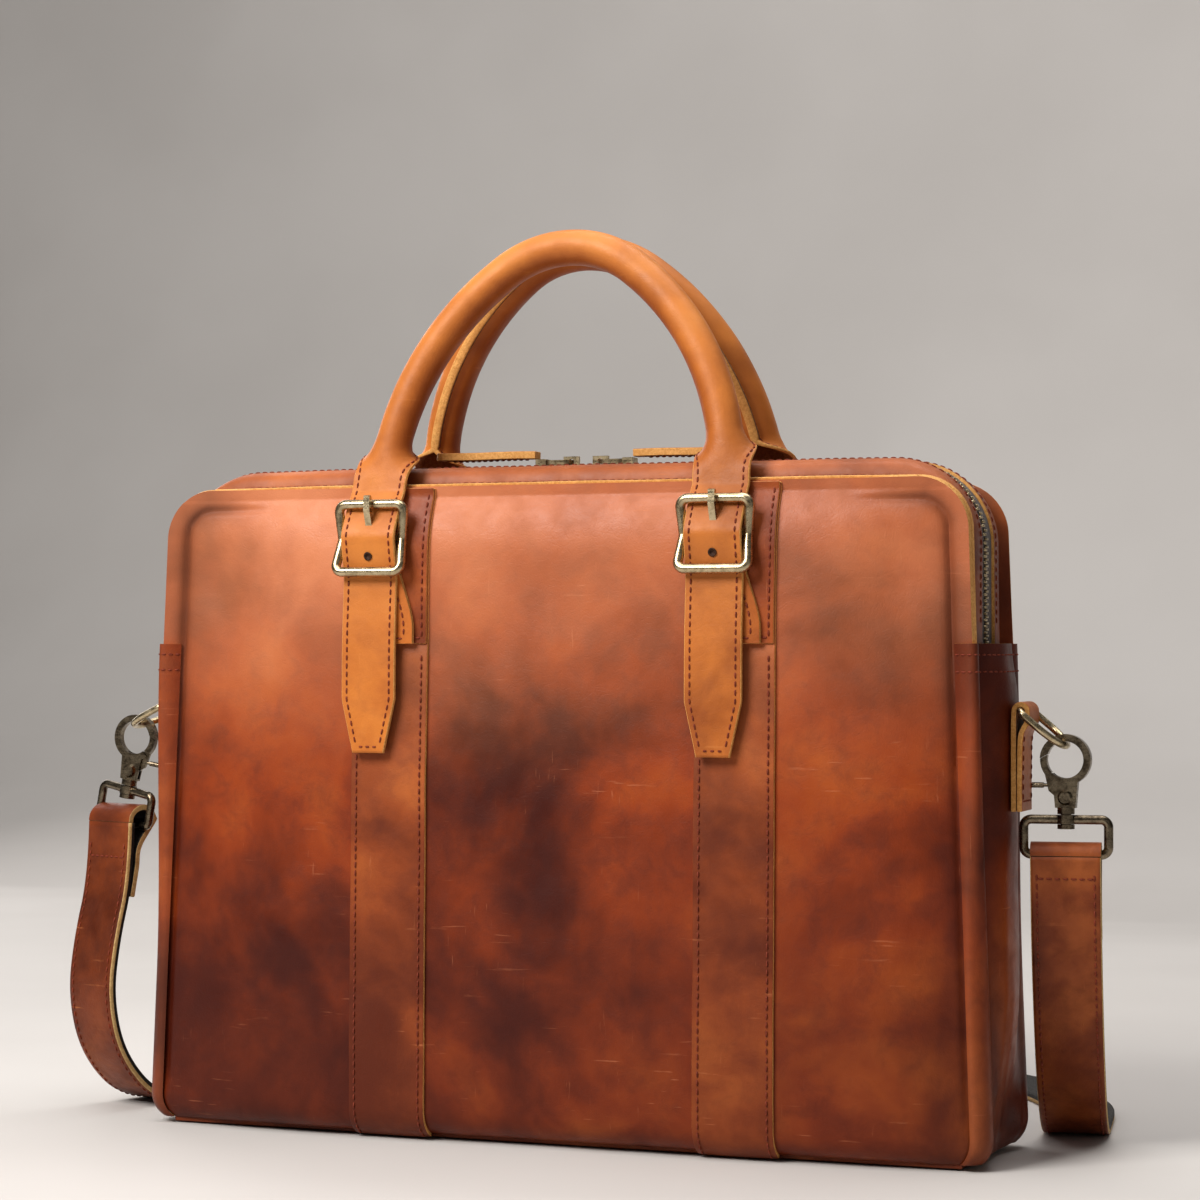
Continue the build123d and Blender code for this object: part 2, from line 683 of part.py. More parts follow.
def side_tab(side):
    """Leather folded round the D-ring's bar and sewn to the side panel."""
    bar_out, bar_up = RING_BAR
    inner = DRING_WIRE + 0.1
    outer = inner + LEATHER
    foot = SIDE_BULGE + 0.05
    profile = Plane(origin=(0, 0, 0), x_dir=(side, 0, 0), z_dir=(0, -side, 0))
    with BuildPart() as tab:
        with BuildSketch(profile):
            with Locations((bar_out, bar_up)):
                Circle(outer)
            with BuildLine():
                Polyline(
                    (foot, TAB_BOTTOM), (foot + 2 * LEATHER, TAB_BOTTOM),
                    (bar_out + outer - 0.6, bar_up - 2), (foot + 0.4, bar_up - 2),
                    close=True,
                )
            make_face()
            with Locations((bar_out, bar_up)):
                Circle(inner, mode=Mode.SUBTRACT)
        extrude(amount=TAB_WIDTH / 2, both=True)
    return tab.part


clips = {}
for side_name, (side, droop, lean, turn) in SIDES.items():
    clip = clip_plane(side, droop, lean)
    clips[side_name] = clip
    keep(side_tab(side), f"{side_name}_tab")
    keep(d_ring(side, droop), f"{side_name}_d_ring")
    keep(snap_hook(clip), f"{side_name}_hook")
    keep(gate(clip), f"{side_name}_gate")
    keep(rivet(clip), f"{side_name}_rivet")
    keep(strap_ring(clip, turn), f"{side_name}_strap_ring")


# ---- shoulder strap: down from each ring, then along the floor behind the bag ----
def route_radii(points):
    """Arc radii for a route: 0.45 of the shorter run over tan of half the turn."""
    radii = []
    for a, b, c in zip(points, points[1:], points[2:]):
        first, second = Vector(*b) - Vector(*a), Vector(*c) - Vector(*b)
        half_turn = radians(first.get_angle(second) / 2)
        shorter = min(first.length, second.length)
        radii.append(0.45 * shorter / tan(half_turn))
    return radii


def drop_plane(side_name):
    """Vertical plane of a strap's drop: u runs the way it goes behind the bag, v is up."""
    side, droop, lean, turn = SIDES[side_name]
    plane = ring_plane(clips[side_name], turn)
    bar = plane.from_local_coords((0, -STRAP_RING_BOTTOM, 0))
    across = Vector(plane.x_dir.X, plane.x_dir.Y, 0).normalized() * side
    behind = Vector(0, 0, 1).cross(across)
    return Plane(origin=(bar.X, bar.Y, 0), x_dir=behind, z_dir=across), bar.Z


MID = WEB_THICK / 2
left_drop, left_bar = drop_plane("left")
right_drop, right_bar = drop_plane("right")
DROPS = {
    "left": [
        (-FOLD_ROOM["left"] - MID, left_bar - 0.4), (-8, 110), (-16, 82), (-20, 54), (-12, 25),
        (12, MID), (52, MID),
    ],
    "right": [
        (-FOLD_ROOM["right"] - MID, right_bar - 0.4), (-1, 104), (9, 74), (24, 44), (44, 18),
        (70, MID), (96, MID),
    ],
}


def strap_drop(plane, points):
    """The hanging stretch of the strap, its width level."""
    radii = route_radii([(x, y, 0) for x, y in points])
    with BuildPart() as drop:
        with BuildSketch(plane):
            with BuildLine() as line:
                FilletPolyline(*points, radius=radii)
            trace(line_width=WEB_THICK)
        extrude(amount=WEB_WIDTH / 2, both=True)
    print("strap drop: length", round(line.wire().length, 1), "radii", [round(r) for r in radii])
    return drop.part, line.wire().length


lengths = []
floor_ends = []
for side_name, plane in (("left", left_drop), ("right", right_drop)):
    drop, length = strap_drop(plane, DROPS[side_name])
    keep(drop, f"{side_name}_strap_drop")
    lengths.append(length)
    end = DROPS[side_name][-1][0]
    floor_ends.append(plane.from_local_coords((end, 0, 0)))
    floor_ends.append(plane.from_local_coords((end + 50, 0, 0)))

left_end, left_next, right_end, right_next = [(p.X, p.Y) for p in floor_ends]
FLOOR_ROUTE = [
    left_end, left_next, (-160, 185), (-104, 236), (-36, 262), (40, 266), (112, 244),
    (168, 200), right_next, right_end,
]
floor_radii = route_radii([(x, y, 0) for x, y in FLOOR_ROUTE])
with BuildPart() as strap_floor:
    with BuildSketch(Plane.XY):
        with BuildLine() as floor_line:
            FilletPolyline(*FLOOR_ROUTE, radius=floor_radii)
        trace(line_width=WEB_WIDTH)
    extrude(amount=WEB_THICK)
keep(strap_floor.part, "shoulder_strap")
lengths.append(floor_line.wire().length)
print("strap on the floor:", round(lengths[2], 1), "radii", [round(r) for r in floor_radii])
print("strap in all:", round(sum(lengths), 1))

# The strap's ends fold over the rings and run back down behind it.
FOLD_LENGTH = 36.0
for side_name, plane, bar_z in (("left", left_drop, left_bar), ("right", right_drop, right_bar)):
    low = bar_z - FOLD_LENGTH
    above, below = DROPS[side_name][1], DROPS[side_name][2]
    run = (above[1] - low) / (above[1] - below[1])
    strap_at_low = above[0] + run * (below[0] - above[0])
    inner = FOLD_ROOM[side_name]
    outer = inner + FOLD_LEATHER
    leg = [
        ((inner + outer) / 2, bar_z),
        (strap_at_low + (WEB_THICK + FOLD_LEATHER) / 2 + 1.0, low),
    ]
    with BuildPart() as fold:
        with BuildSketch(plane):
            with BuildLine():
                ThreePointArc((-outer, bar_z), (0, bar_z + outer), (outer, bar_z))
                ThreePointArc((-inner, bar_z), (0, bar_z + inner), (inner, bar_z))
                Line((-outer, bar_z), (-inner, bar_z))
                Line((outer, bar_z), (inner, bar_z))
            make_face()
            with BuildLine():
                Polyline(*ribbon(leg, FOLD_LEATHER), close=True)
            make_face()
        extrude(amount=WEB_WIDTH / 2, both=True)
    keep(fold.part, f"{side_name}_strap_fold")

# ---- inside: lining, padded divider and slip pocket ----
LINING_HALF = outer_face(WALL_TOP) - LEATHER - 2.5
with BuildPart() as lining:
    with BuildSketch(Plane.XY.offset(8)):
        Rectangle(2 * SIDE_FOOT - 26, 2 * LINING_HALF - 9)
        fillet(vertices(), 6)
    extrude(amount=262)
    offset(amount=-LINING, openings=lining.faces().sort_by(Axis.Z)[-1])
keep(lining.part, "lining")

with BuildPart() as divider:
    with BuildSketch(Plane.XZ.offset(-12)):
        with Locations((0, 126)):
            Rectangle(2 * SIDE_FOOT - 40, 226)
            fillet(vertices(), 12)
    extrude(amount=-6)
    fillet(divider.edges().group_by(Axis.Y)[0], 2)
keep(divider.part, "laptop_divider")

with BuildPart() as pocket:
    with BuildSketch(Plane.XZ.offset(-(LINING_HALF - 7.6))):
        with Locations((0, 150)):
            Rectangle(230, 130)
            fillet(vertices(), 8)
    extrude(amount=-1.4)
keep(pocket.part, "slip_pocket")
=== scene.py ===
from math import asin, atan2, cos, exp, hypot, pi, radians, sin, sqrt, tan

import bpy
import numpy as np
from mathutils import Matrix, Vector, noise


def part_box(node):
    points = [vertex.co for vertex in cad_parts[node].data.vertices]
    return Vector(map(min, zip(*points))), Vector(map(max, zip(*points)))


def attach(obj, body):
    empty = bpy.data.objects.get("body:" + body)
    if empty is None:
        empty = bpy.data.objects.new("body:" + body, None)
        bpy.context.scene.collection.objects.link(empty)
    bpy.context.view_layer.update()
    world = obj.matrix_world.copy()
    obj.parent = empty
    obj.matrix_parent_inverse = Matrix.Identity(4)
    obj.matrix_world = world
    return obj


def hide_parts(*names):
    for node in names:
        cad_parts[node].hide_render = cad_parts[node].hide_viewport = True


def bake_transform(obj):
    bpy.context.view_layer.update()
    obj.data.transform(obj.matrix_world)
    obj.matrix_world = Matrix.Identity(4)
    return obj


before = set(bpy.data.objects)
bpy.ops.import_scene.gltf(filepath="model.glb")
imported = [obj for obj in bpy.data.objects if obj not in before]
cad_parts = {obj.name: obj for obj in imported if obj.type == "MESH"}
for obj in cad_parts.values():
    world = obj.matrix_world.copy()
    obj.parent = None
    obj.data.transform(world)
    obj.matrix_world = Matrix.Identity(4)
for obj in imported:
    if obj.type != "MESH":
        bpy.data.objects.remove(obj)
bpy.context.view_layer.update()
scene = bpy.context.scene

# Lengths are in millimetres, and put() turns them into metres. Lamps, the camera and the depths
# of bump are in metres. Each part of the bag comes at both faces, and at both sides.
FACES = ((1, "front"), (-1, "rear"))
SIDES = ((-1, "left"), (1, "right"))


# ---- camera, floor and light ----
camera = bpy.data.objects.new("camera", bpy.data.cameras.new("camera"))
camera.data.sensor_width = 36
camera.data.lens = 90
camera.location = (0.492, -1.274, 0.220)
camera.rotation_euler = (radians(90.92), 0, radians(20.7))
scene.collection.objects.link(camera)
scene.camera = camera


def area_light(name, place, aim, size, power, colour):
    data = bpy.data.lights.new(name, "AREA")
    data.shape = "RECTANGLE"
    data.size, data.size_y = size
    data.energy = power
    data.color = colour
    lamp = bpy.data.objects.new(name, data)
    lamp.location = place
    lamp.rotation_euler = (Vector(aim) - Vector(place)).to_track_quat("-Z", "Y").to_euler()
    scene.collection.objects.link(lamp)


area_light("key", (-0.60, -1.20, 1.30), (0, 0, 0.2), (0.8, 0.8), 35, (1.0, 0.97, 0.93))
area_light("fill", (1.7, -1.3, 0.7), (0, 0, 0.15), (1.0, 1.4), 0.8, (1.0, 0.96, 0.92))
area_light("top", (0.1, -0.05, 1.6), (0, 0, 0.2), (1.4, 1.0), 14, (1.0, 0.98, 0.96))
area_light("rim", (-1.3, 1.1, 0.9), (0, 0, 0.2), (0.8, 1.2), 7, (1.0, 0.97, 0.95))
area_light("backdrop", (0, 0.9, 2.4), (0, 2.3, 0.5), (2.4, 0.8), 22, (1.0, 0.98, 0.96))
world = bpy.data.worlds.new("studio")
world.use_nodes = True
sky = world.node_tree.nodes["Background"].inputs
sky["Color"].default_value = (0.80, 0.78, 0.76, 1)
sky["Strength"].default_value = 0.12
scene.world = world
scene.view_settings.view_transform = "Standard"


# ---- materials ----
class Graph:
    """A material being wired: add() makes a node and returns its first output."""

    def __init__(self, name):
        self.material = bpy.data.materials.new(name)
        self.material.use_nodes = True
        self.tree = self.material.node_tree
        self.tree.nodes.clear()
        out = self.tree.nodes.new("ShaderNodeOutputMaterial")
        self.shader = self.tree.nodes.new("ShaderNodeBsdfPrincipled")
        self.tree.links.new(self.shader.outputs[0], out.inputs["Surface"])
        self.place = self.add("ShaderNodeTexCoord", out="Object")

    def set(self, socket, value):
        if isinstance(value, bpy.types.NodeSocket):
            self.tree.links.new(value, socket)
        elif isinstance(value, tuple) and len(value) == 3 and socket.type == "RGBA":
            socket.default_value = (*value, 1)
        else:
            socket.default_value = value

    def add(self, kind, inputs=None, out=0, **fields):
        node = self.tree.nodes.new(kind)
        for key, value in fields.items():
            setattr(node, key, value)
        for key, value in (inputs or {}).items():
            self.set(node.inputs[key], value)
        return node.outputs[out]

    def noise(self, scale, detail=4.0, rough=0.55, twist=0.0, place=None):
        return self.add("ShaderNodeTexNoise", {
            "Vector": place or self.place, "Scale": scale, "Detail": detail,
            "Roughness": rough, "Distortion": twist,
        })

    def stretch(self, scale, turn=(0, 0, 0)):
        return self.add("ShaderNodeMapping", {
            "Vector": self.place, "Scale": scale, "Rotation": turn,
        })

    def ramp(self, value, low, high, to_low=0.0, to_high=1.0):
        return self.add("ShaderNodeMapRange", {
            "Value": value, "From Min": low, "From Max": high,
            "To Min": to_low, "To Max": to_high,
        }, interpolation_type="SMOOTHSTEP")

    def plus(self, a, b, what="ADD"):
        return self.add("ShaderNodeMath", {0: a, 1: b}, operation=what)

    def times(self, a, b):
        return self.plus(a, b, "MULTIPLY")

    def mix(self, amount, a, b):
        return self.add("ShaderNodeMix", {0: amount, 6: a, 7: b}, out=2, data_type="RGBA")

    def vary(self, name):
        return self.add("ShaderNodeAttribute", out="Fac", attribute_name=name)

    def bump(self, *layers):
        """layers of (height, depth in metres, strength)."""
        normal = None
        for height, depth, strength in layers:
            inputs = {"Height": height, "Distance": depth, "Strength": strength}
            if normal is not None:
                inputs["Normal"] = normal
            normal = self.add("ShaderNodeBump", inputs)
        self.set(self.shader.inputs["Normal"], normal)

    def finish(self, colour, rough, **sockets):
        self.set(self.shader.inputs["Base Color"], colour)
        self.set(self.shader.inputs["Roughness"], rough)
        for key, value in sockets.items():
            self.set(self.shader.inputs[key.replace("_", " ")], value)
        return self.material


def leather(name, dark, base, bright, pale, gloss=0.44, patch=1.0):
    """Waxed pull-up leather: cloudy colour, painted shade, pale rubs mixed with painted
    highlight, hairline scratches, fine grain.
    """
    g = Graph(name)
    cloud = g.noise(7.5 * patch, 4, 0.55, 0.5)
    smoke = g.noise(21 * patch, 4, 0.55, 0.3)
    mottle = g.noise(75, 5, 0.65, 0.4)
    depth = g.plus(g.times(cloud, 0.7), g.times(smoke, 0.3))
    colour = g.mix(g.ramp(depth, 0.36, 0.56), dark, base)
    colour = g.mix(g.ramp(depth, 0.50, 0.68), colour, bright)
    colour = g.mix(g.ramp(mottle, 0.42, 0.75, 0.0, 0.35), colour, dark)
    # Painted shade: the attribute darkens the colour where the surface stands in shade.
    painted_shade = g.vary("painted_shade")
    colour = g.mix(g.times(painted_shade, g.ramp(smoke, 0.2, 0.7, 1.0, 0.55)), colour, dark)
    # Pale rubs of the pull-up leather, with painted highlight: the attribute mixes in the pale
    # colour.
    rub = g.vary("rub")
    rub = g.times(rub, g.ramp(smoke, 0.25, 0.75, 0.55, 1.0))
    colour = g.mix(rub, colour, pale)
    scratch = g.ramp(g.noise(1.0, 3, 0.5, 0.25, g.stretch((46, 46, 620), (0.5, 0.9, 0.3))),
                     0.66, 0.73)
    scuff = g.ramp(g.noise(1.0, 3, 0.5, 0.4, g.stretch((700, 60, 60), (0.2, 0.5, 0.8))),
                   0.68, 0.76)
    marks = g.times(g.plus(scratch, scuff), g.ramp(smoke, 0.45, 0.7))
    colour = g.mix(g.times(marks, 0.40), colour, pale)
    grain = g.add("ShaderNodeTexVoronoi", {"Vector": g.place, "Scale": 1150.0}, out="Distance")
    pores = g.noise(2600, 2, 0.5)
    crease = g.add("ShaderNodeTexVoronoi", {
        "Vector": g.mix(0.06, g.place, g.noise(60, 2, 0.5)), "Scale": 120.0,
    }, out="Distance", feature="DISTANCE_TO_EDGE")
    crease = g.ramp(crease, 0.0, 0.09)
    rough = g.ramp(g.plus(mottle, g.times(marks, 0.3)), 0.3, 0.8,
                   gloss - 0.06, gloss + 0.14)
    g.bump((grain, 0.00012, 0.35), (pores, 0.00006, 0.25), (mottle, 0.0006, 0.30),
           (crease, 0.00010, 0.22), (marks, 0.00008, 0.4))
    return g.finish(colour, rough, Specular_IOR_Level=0.22)


def raw_edge(name, light, dark):
    """Cut edge of leather: fibres, waxy streaks along the layers."""
    g = Graph(name)
    fibre = g.noise(900, 4, 0.7, 0.5)
    blot = g.noise(110, 4, 0.6)
    colour = g.mix(g.ramp(fibre, 0.3, 0.75), light, dark)
    colour = g.mix(g.ramp(blot, 0.42, 0.75, 0.0, 0.55), colour, dark)
    g.bump((fibre, 0.00035, 0.6), (g.noise(2400, 2, 0.6), 0.00012, 0.5))
    return g.finish(colour, g.ramp(fibre, 0.2, 0.8, 0.55, 0.8), Specular_IOR_Level=0.3)


def metal(name, light, dark, rough):
    """Antiqued metal: darker in patches and specks, brushed and rubbed bright in patches."""
    g = Graph(name)
    patina = g.noise(240, 5, 0.6, 0.4)
    speck = g.noise(1500, 3, 0.6)
    brushed = g.noise(1.0, 3, 0.6, 0.0, g.stretch((30, 30, 900)))
    colour = g.mix(g.ramp(patina, 0.35, 0.7), light, dark)
    colour = g.mix(g.ramp(speck, 0.55, 0.75, 0.0, 0.5), colour, dark)
    roughness = g.ramp(g.plus(brushed, speck), 0.6, 1.4, rough - 0.07, rough + 0.13)
    g.bump((brushed, 0.00003, 0.22), (patina, 0.00006, 0.15), (speck, 0.00002, 0.2))
    return g.finish(colour, roughness, Metallic=1.0)


def cloth(name, light, dark, pitch):
    """Woven cloth: two crossing sets of threads, with slubs."""
    g = Graph(name)
    threads = [g.add("ShaderNodeTexWave", {"Vector": g.place, "Scale": pitch, "Distortion": 0.6},
                     out="Fac", bands_direction=way) for way in ("DIAGONAL", "Z")]
    weave = g.times(*threads)
    slub = g.noise(300, 4, 0.6)
    colour = g.mix(g.ramp(weave, 0.1, 0.8), dark, light)
    colour = g.mix(g.ramp(slub, 0.4, 0.8, 0.0, 0.4), colour, dark)
    g.bump((weave, 0.0002, 0.6), (slub, 0.0002, 0.3))
    return g.finish(colour, 0.85, Sheen_Weight=0.2)


SHELL = leather("shell_leather", (0.050, 0.0050, 0.0012), (0.290, 0.041, 0.0060),
                (0.440, 0.094, 0.013), (0.620, 0.215, 0.095), 0.43)
TRIM = leather("trim_leather", (0.100, 0.015, 0.0035), (0.290, 0.056, 0.011),
               (0.430, 0.105, 0.020), (0.620, 0.210, 0.080), 0.46, 1.6)
HANDLE = leather("handle_leather", (0.260, 0.056, 0.008), (0.500, 0.135, 0.019),
                 (0.630, 0.195, 0.028), (0.680, 0.250, 0.060), 0.46, 2.0)
STRAP = leather("strap_leather", (0.060, 0.009, 0.002), (0.180, 0.034, 0.007),
                (0.330, 0.082, 0.017), (0.540, 0.180, 0.060), 0.46, 2.0)
EDGE = raw_edge("raw_edge", (0.800, 0.420, 0.125), (0.520, 0.220, 0.048))
PALE_EDGE = raw_edge("pale_edge", (0.680, 0.470, 0.200), (0.420, 0.240, 0.080))
FLESH = raw_edge("flesh_side", (0.300, 0.130, 0.045), (0.170, 0.060, 0.020))
BLACK_BACK = raw_edge("black_back", (0.020, 0.017, 0.015), (0.008, 0.007, 0.006))
THREAD = raw_edge("thread", (0.250, 0.038, 0.012), (0.110, 0.014, 0.005))
# Near black: painted shade for the depth of a punched hole.
HOLE_SHADE = raw_edge("punched_hole_shade", (0.060, 0.020, 0.008), (0.020, 0.007, 0.003))
BRASS = metal("antique_brass", (0.560, 0.460, 0.290), (0.330, 0.260, 0.150), 0.26)
BRONZE = metal("dark_bronze", (0.230, 0.185, 0.125), (0.070, 0.052, 0.034), 0.25)
ZIP_METAL = metal("zip_metal", (0.520, 0.420, 0.260), (0.230, 0.170, 0.090), 0.30)
TAPE = cloth("zip_cloth", (0.075, 0.035, 0.020), (0.025, 0.012, 0.008), 900)
LINING = cloth("lining_cloth", (0.110, 0.065, 0.035), (0.050, 0.028, 0.016), 700)
BOARD = raw_edge("fibre_board", (0.130, 0.095, 0.065), (0.070, 0.050, 0.036))
ROPE = cloth("cotton_rope", (0.620, 0.540, 0.400), (0.380, 0.310, 0.210), 260)


# ---- mesh helpers ----
def put(name, verts, faces, materials, which, body, replaces=(), parts=None):
    """Makes the object from millimetres, smooth shaded, riding on its body."""
    mesh = bpy.data.meshes.new(name)
    mesh.from_pydata((np.asarray(verts, float) / 1000).tolist(), [], faces)
    for material in materials:
        mesh.materials.append(material)
    mesh.polygons.foreach_set("material_index", np.asarray(which, np.int32))
    mesh.polygons.foreach_set("use_smooth", np.ones(len(faces), bool))
    for key, values in (parts or {}).items():
        field = mesh.attributes.new(key, "FLOAT", "POINT")
        field.data.foreach_set("value", np.asarray(values, np.float32))
    mesh.validate()
    mesh.update()
    piece = bpy.data.objects.new(name, mesh)
    scene.collection.objects.link(piece)
    if body:
        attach(piece, body)
    if replaces:
        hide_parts(*replaces)
    return piece


def evaluated_mesh(piece):
    bpy.context.view_layer.update()
    graph = bpy.context.evaluated_depsgraph_get()
    return bpy.data.meshes.new_from_object(piece.evaluated_get(graph))


def round_rims(piece, width):
    """Rounds the sharp rims of a piece and keeps the result."""
    bevel = piece.modifiers.new("rim", "BEVEL")
    bevel.width = width / 1000
    bevel.segments = 2
    bevel.limit_method = "ANGLE"
    bevel.angle_limit = radians(50)
    bevel.harden_normals = True
    mesh = evaluated_mesh(piece)
    piece.modifiers.clear()
    old = piece.data
    piece.data = mesh
    bpy.data.meshes.remove(old)


def unit(v):
    """v, or each row of v, at length 1."""
    return v / np.maximum(np.linalg.norm(v, axis=-1, keepdims=True), 1e-9)


def grid_normals(rows, way):
    """Unit normals of a grid of points; way is 1 or -1."""
    across = np.gradient(rows, axis=1)
    along = np.gradient(rows, axis=0)
    return unit(np.cross(across, along)) * way


def slab(name, rows, way, thick, materials, replaces=(), parts=None,
         body="bag", rim=0.45):
    """A sheet of leather whose good side is the grid of points; way turns the normal out.
    materials are for the good side, the cut edge and the back."""
    rows = np.asarray(rows, float)
    m, n, _ = rows.shape
    normals = grid_normals(rows, way)
    back = rows - normals * thick
    verts = np.concatenate([rows.reshape(-1, 3), back.reshape(-1, 3)])
    size = m * n
    faces, which = [], []

    def quad(a, b, c, d, k):
        faces.append((a, b, c, d) if way > 0 else (d, c, b, a))
        which.append(k)

    for i in range(m - 1):
        for j in range(n - 1):
            a = i * n + j
            quad(a, a + 1, a + n + 1, a + n, 0)
            quad(size + a, size + a + n, size + a + n + 1, size + a + 1, 2)
    edge = [*range(n - 1), *range(n - 1, size - 1, n), *range(size - 1, size - n, -1),
            *range(size - n, -1, -n)]
    for a, b in zip(edge, edge[1:]):
        quad(a, size + a, size + b, b, 1)
    if parts:
        parts = {k: np.concatenate([np.ravel(v), np.ravel(v)]) for k, v in parts.items()}
    piece = put(name, verts, faces, materials, which, body, replaces, parts)
    if rim:
        round_rims(piece, rim)
    return piece


def tube_faces(m, k, base=0):
    """Faces of m rings of k points, numbered from base, with a cap at each end."""
    faces = []
    for i in range(base, base + (m - 1) * k, k):
        faces += [(i + j, i + (j + 1) % k, i + (j + 1) % k + k, i + j + k) for j in range(k)]
    end = base + m * k
    return faces + [tuple(range(base, base + k))[::-1], tuple(range(end - k, end))]


def loft(name, rings, materials, ring_which, body, replaces=(), parts=None):
    """A tube through closed rings of equal count, capped at its ends."""
    rings = np.asarray(rings, float)
    m, k, _ = rings.shape
    faces = tube_faces(m, k)
    which = list(ring_which) * (m - 1) + [ring_which[-1]] * 2
    return put(name, rings.reshape(-1, 3), faces, materials, which, body, replaces, parts)


def spline(points, count):
    """Even points along a smooth curve through the points."""
    points = np.asarray(points, float)
    padded = np.concatenate([2 * points[:1] - points[1:2], points,
                             2 * points[-1:] - points[-2:-1]])
    fine = []
    for i in range(1, len(padded) - 2):
        a, b, c, d = padded[i - 1:i + 3]
        for t in np.linspace(0, 1, 24, endpoint=False):
            fine.append(0.5 * (2 * b + (c - a) * t + (2 * a - 5 * b + 4 * c - d) * t * t
                               + (3 * b - a - 3 * c + d) * t ** 3))
    fine.append(padded[-2])
    return resample(np.array(fine), count)


def arc(x, y, radius, degrees):
    return [(x + radius * cos(radians(a)), y + radius * sin(radians(a))) for a in degrees]


def run_along(points):
    """How far along its polyline each point is."""
    return np.concatenate([[0], np.cumsum(np.linalg.norm(np.diff(points, axis=0), axis=1))])


def resample(points, count):
    """The polyline's points respaced evenly."""
    along = run_along(points)
    goal = np.linspace(0, along[-1], count)
    return np.stack([np.interp(goal, along, points[:, i]) for i in range(points.shape[1])], 1)


def smooth(low, high, value):
    """0 at low, 1 at high, easing in and out between them."""
    t = np.clip((value - low) / (high - low), 0, 1)
    return t * t * (3 - 2 * t)


SEAMS = {}
# A stitch in rings: how far along it, how wide, and how high; it dives in at both ends.
STITCH = ((-0.5, 0.35, -0.30), (-0.40, 0.8, 0.0), (-0.15, 1.0, 0.10),
          (0.15, 1.0, 0.10), (0.40, 0.8, 0.0), (0.5, 0.35, -0.30))
STITCH_SIDES = 6
STITCH_LIFT = 0.12


def stitches(body, points, normals, pitch=3.7, length=2.7, width=0.85):
    """A row of sewn stitches along points on a surface, kept for the body's thread piece."""
    points, normals = np.asarray(points, float), np.asarray(normals, float)
    along = run_along(points)
    count = max(2, int(along[-1] / pitch))
    centres = (np.arange(count) + 0.5) * along[-1] / count
    store = SEAMS.setdefault(body, [])

    def at(values, s):
        return np.array([np.interp(s, along, values[:, i]) for i in range(3)])

    for s in centres:
        middle = at(points, s)
        ahead = unit(at(points, s + 0.6) - at(points, s - 0.6))
        up = unit(at(normals, s))
        side = unit(np.cross(ahead, up))
        rings = []
        for t, r, h in STITCH:
            centre = middle + ahead * t * length + up * (STITCH_LIFT + h)
            rings.append([centre + (side * cos(a) + up * sin(a) * 0.75) * r * width / 2
                          for a in np.linspace(0, 2 * pi, STITCH_SIDES, endpoint=False)])
        store.append(np.array(rings).reshape(-1, 3))


def sew(body, rows, way, seams, *size):
    """Stitches along parts of a grid of points; each seam picks its part."""
    rows = np.array(rows)
    normals = grid_normals(rows, way)
    for seam in seams:
        stitches(body, rows[seam], normals[seam], *size)


def sew_all():
    """One thread piece for each body; the handle straps' thread gets no body, and its transform
    is baked.
    """
    for body, store in SEAMS.items():
        verts = np.concatenate(store)
        faces = []
        for base in range(0, len(verts), len(STITCH) * STITCH_SIDES):
            faces += tube_faces(len(STITCH), STITCH_SIDES, base)
        bends = body.endswith("_handle_strap")
        piece = put(f"stitching_{body}", verts, faces, [THREAD], [0] * len(faces),
                    None if bends else body)
        if bends:
            over_hinge(piece)


def wobble(x, y, z, scale, seed=0.0):
    """Smooth unevenness, -1 to 1; seed picks another of the same kind."""
    return noise.noise(Vector((x * scale, y * scale + seed, z * scale)))


# ---- the shape of a panel ----
PANEL = np.array(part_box("front_panel")) * 1000
WIDTH_BOTTOM = PANEL[1][0] - PANEL[0][0]
SEAM_HEIGHT = PANEL[1][2]
HALF_TOP = WIDTH_BOTTOM / 2 - 10
FOOT_ROUND = 12.0
ROLL_OUT, ROLL_HEIGHT, ROLL_RADIUS = 35.0, 14.0, 12.0
WALL_TOP, WALL_LEAN, SHOULDER_RADIUS = 262.0, 5.5, 60.0
WALL_RADIUS = ((WALL_TOP - ROLL_HEIGHT) ** 2 + WALL_LEAN ** 2) / (2 * WALL_LEAN)
WALL_ANGLE = asin((WALL_TOP - ROLL_HEIGHT) / WALL_RADIUS)
DEPTH = ROLL_OUT + ROLL_RADIUS
SHOULDER = (DEPTH - WALL_LEAN - SHOULDER_RADIUS * cos(WALL_ANGLE),
            WALL_TOP - SHOULDER_RADIUS * sin(WALL_ANGLE))
SHOULDER_TOP = 288.0
CORNER = 22.0
LEATHER = 2.4
# The seam allowance: its width, how far out it is at the top, what it gains for each mm down and
# at the foot, its lean forwards where it is free, and back where the side panels bind it.
FLANGE, FLANGE_OUT, FLANGE_SPREAD, FLANGE_FOOT = 9.0, 34.5, 0.0175, 4.4
FREE_LEAN, BOUND_LEAN = tan(radians(15)), -0.75
SWELL_REACH, SWELL_POWER = 78, 2.3
CREASE_DEPTH, CREASE_WIDTH = 1.4, 1.6
WAVES = ((1.5, 0.013), (0.6, 0.034), (0.22, 0.09))  # depth, and waves for each mm
STRAP_X, BAND_SHIFT = 81.5, 8.0


def outer_face(z):
    """How far a panel's outer face is from the middle plane at a height."""
    if z < ROLL_HEIGHT:
        return ROLL_OUT + sqrt(max(0, ROLL_RADIUS ** 2 - (ROLL_HEIGHT - z) ** 2))
    if z <= WALL_TOP:
        return DEPTH - WALL_RADIUS + sqrt(WALL_RADIUS ** 2 - (z - ROLL_HEIGHT) ** 2)
    rise = min(z, SHOULDER_TOP) - SHOULDER[1]
    return SHOULDER[0] + sqrt(SHOULDER_RADIUS ** 2 - rise ** 2)


def half_width(z):
    """Half width at a height, rounded in at the foot."""
    foot = FOOT_ROUND * (1 - sqrt(1 - (max(0, ROLL_HEIGHT - z) / ROLL_HEIGHT) ** 2))
    return WIDTH_BOTTOM / 2 - (WIDTH_BOTTOM / 2 - HALF_TOP) * z / SEAM_HEIGHT - foot


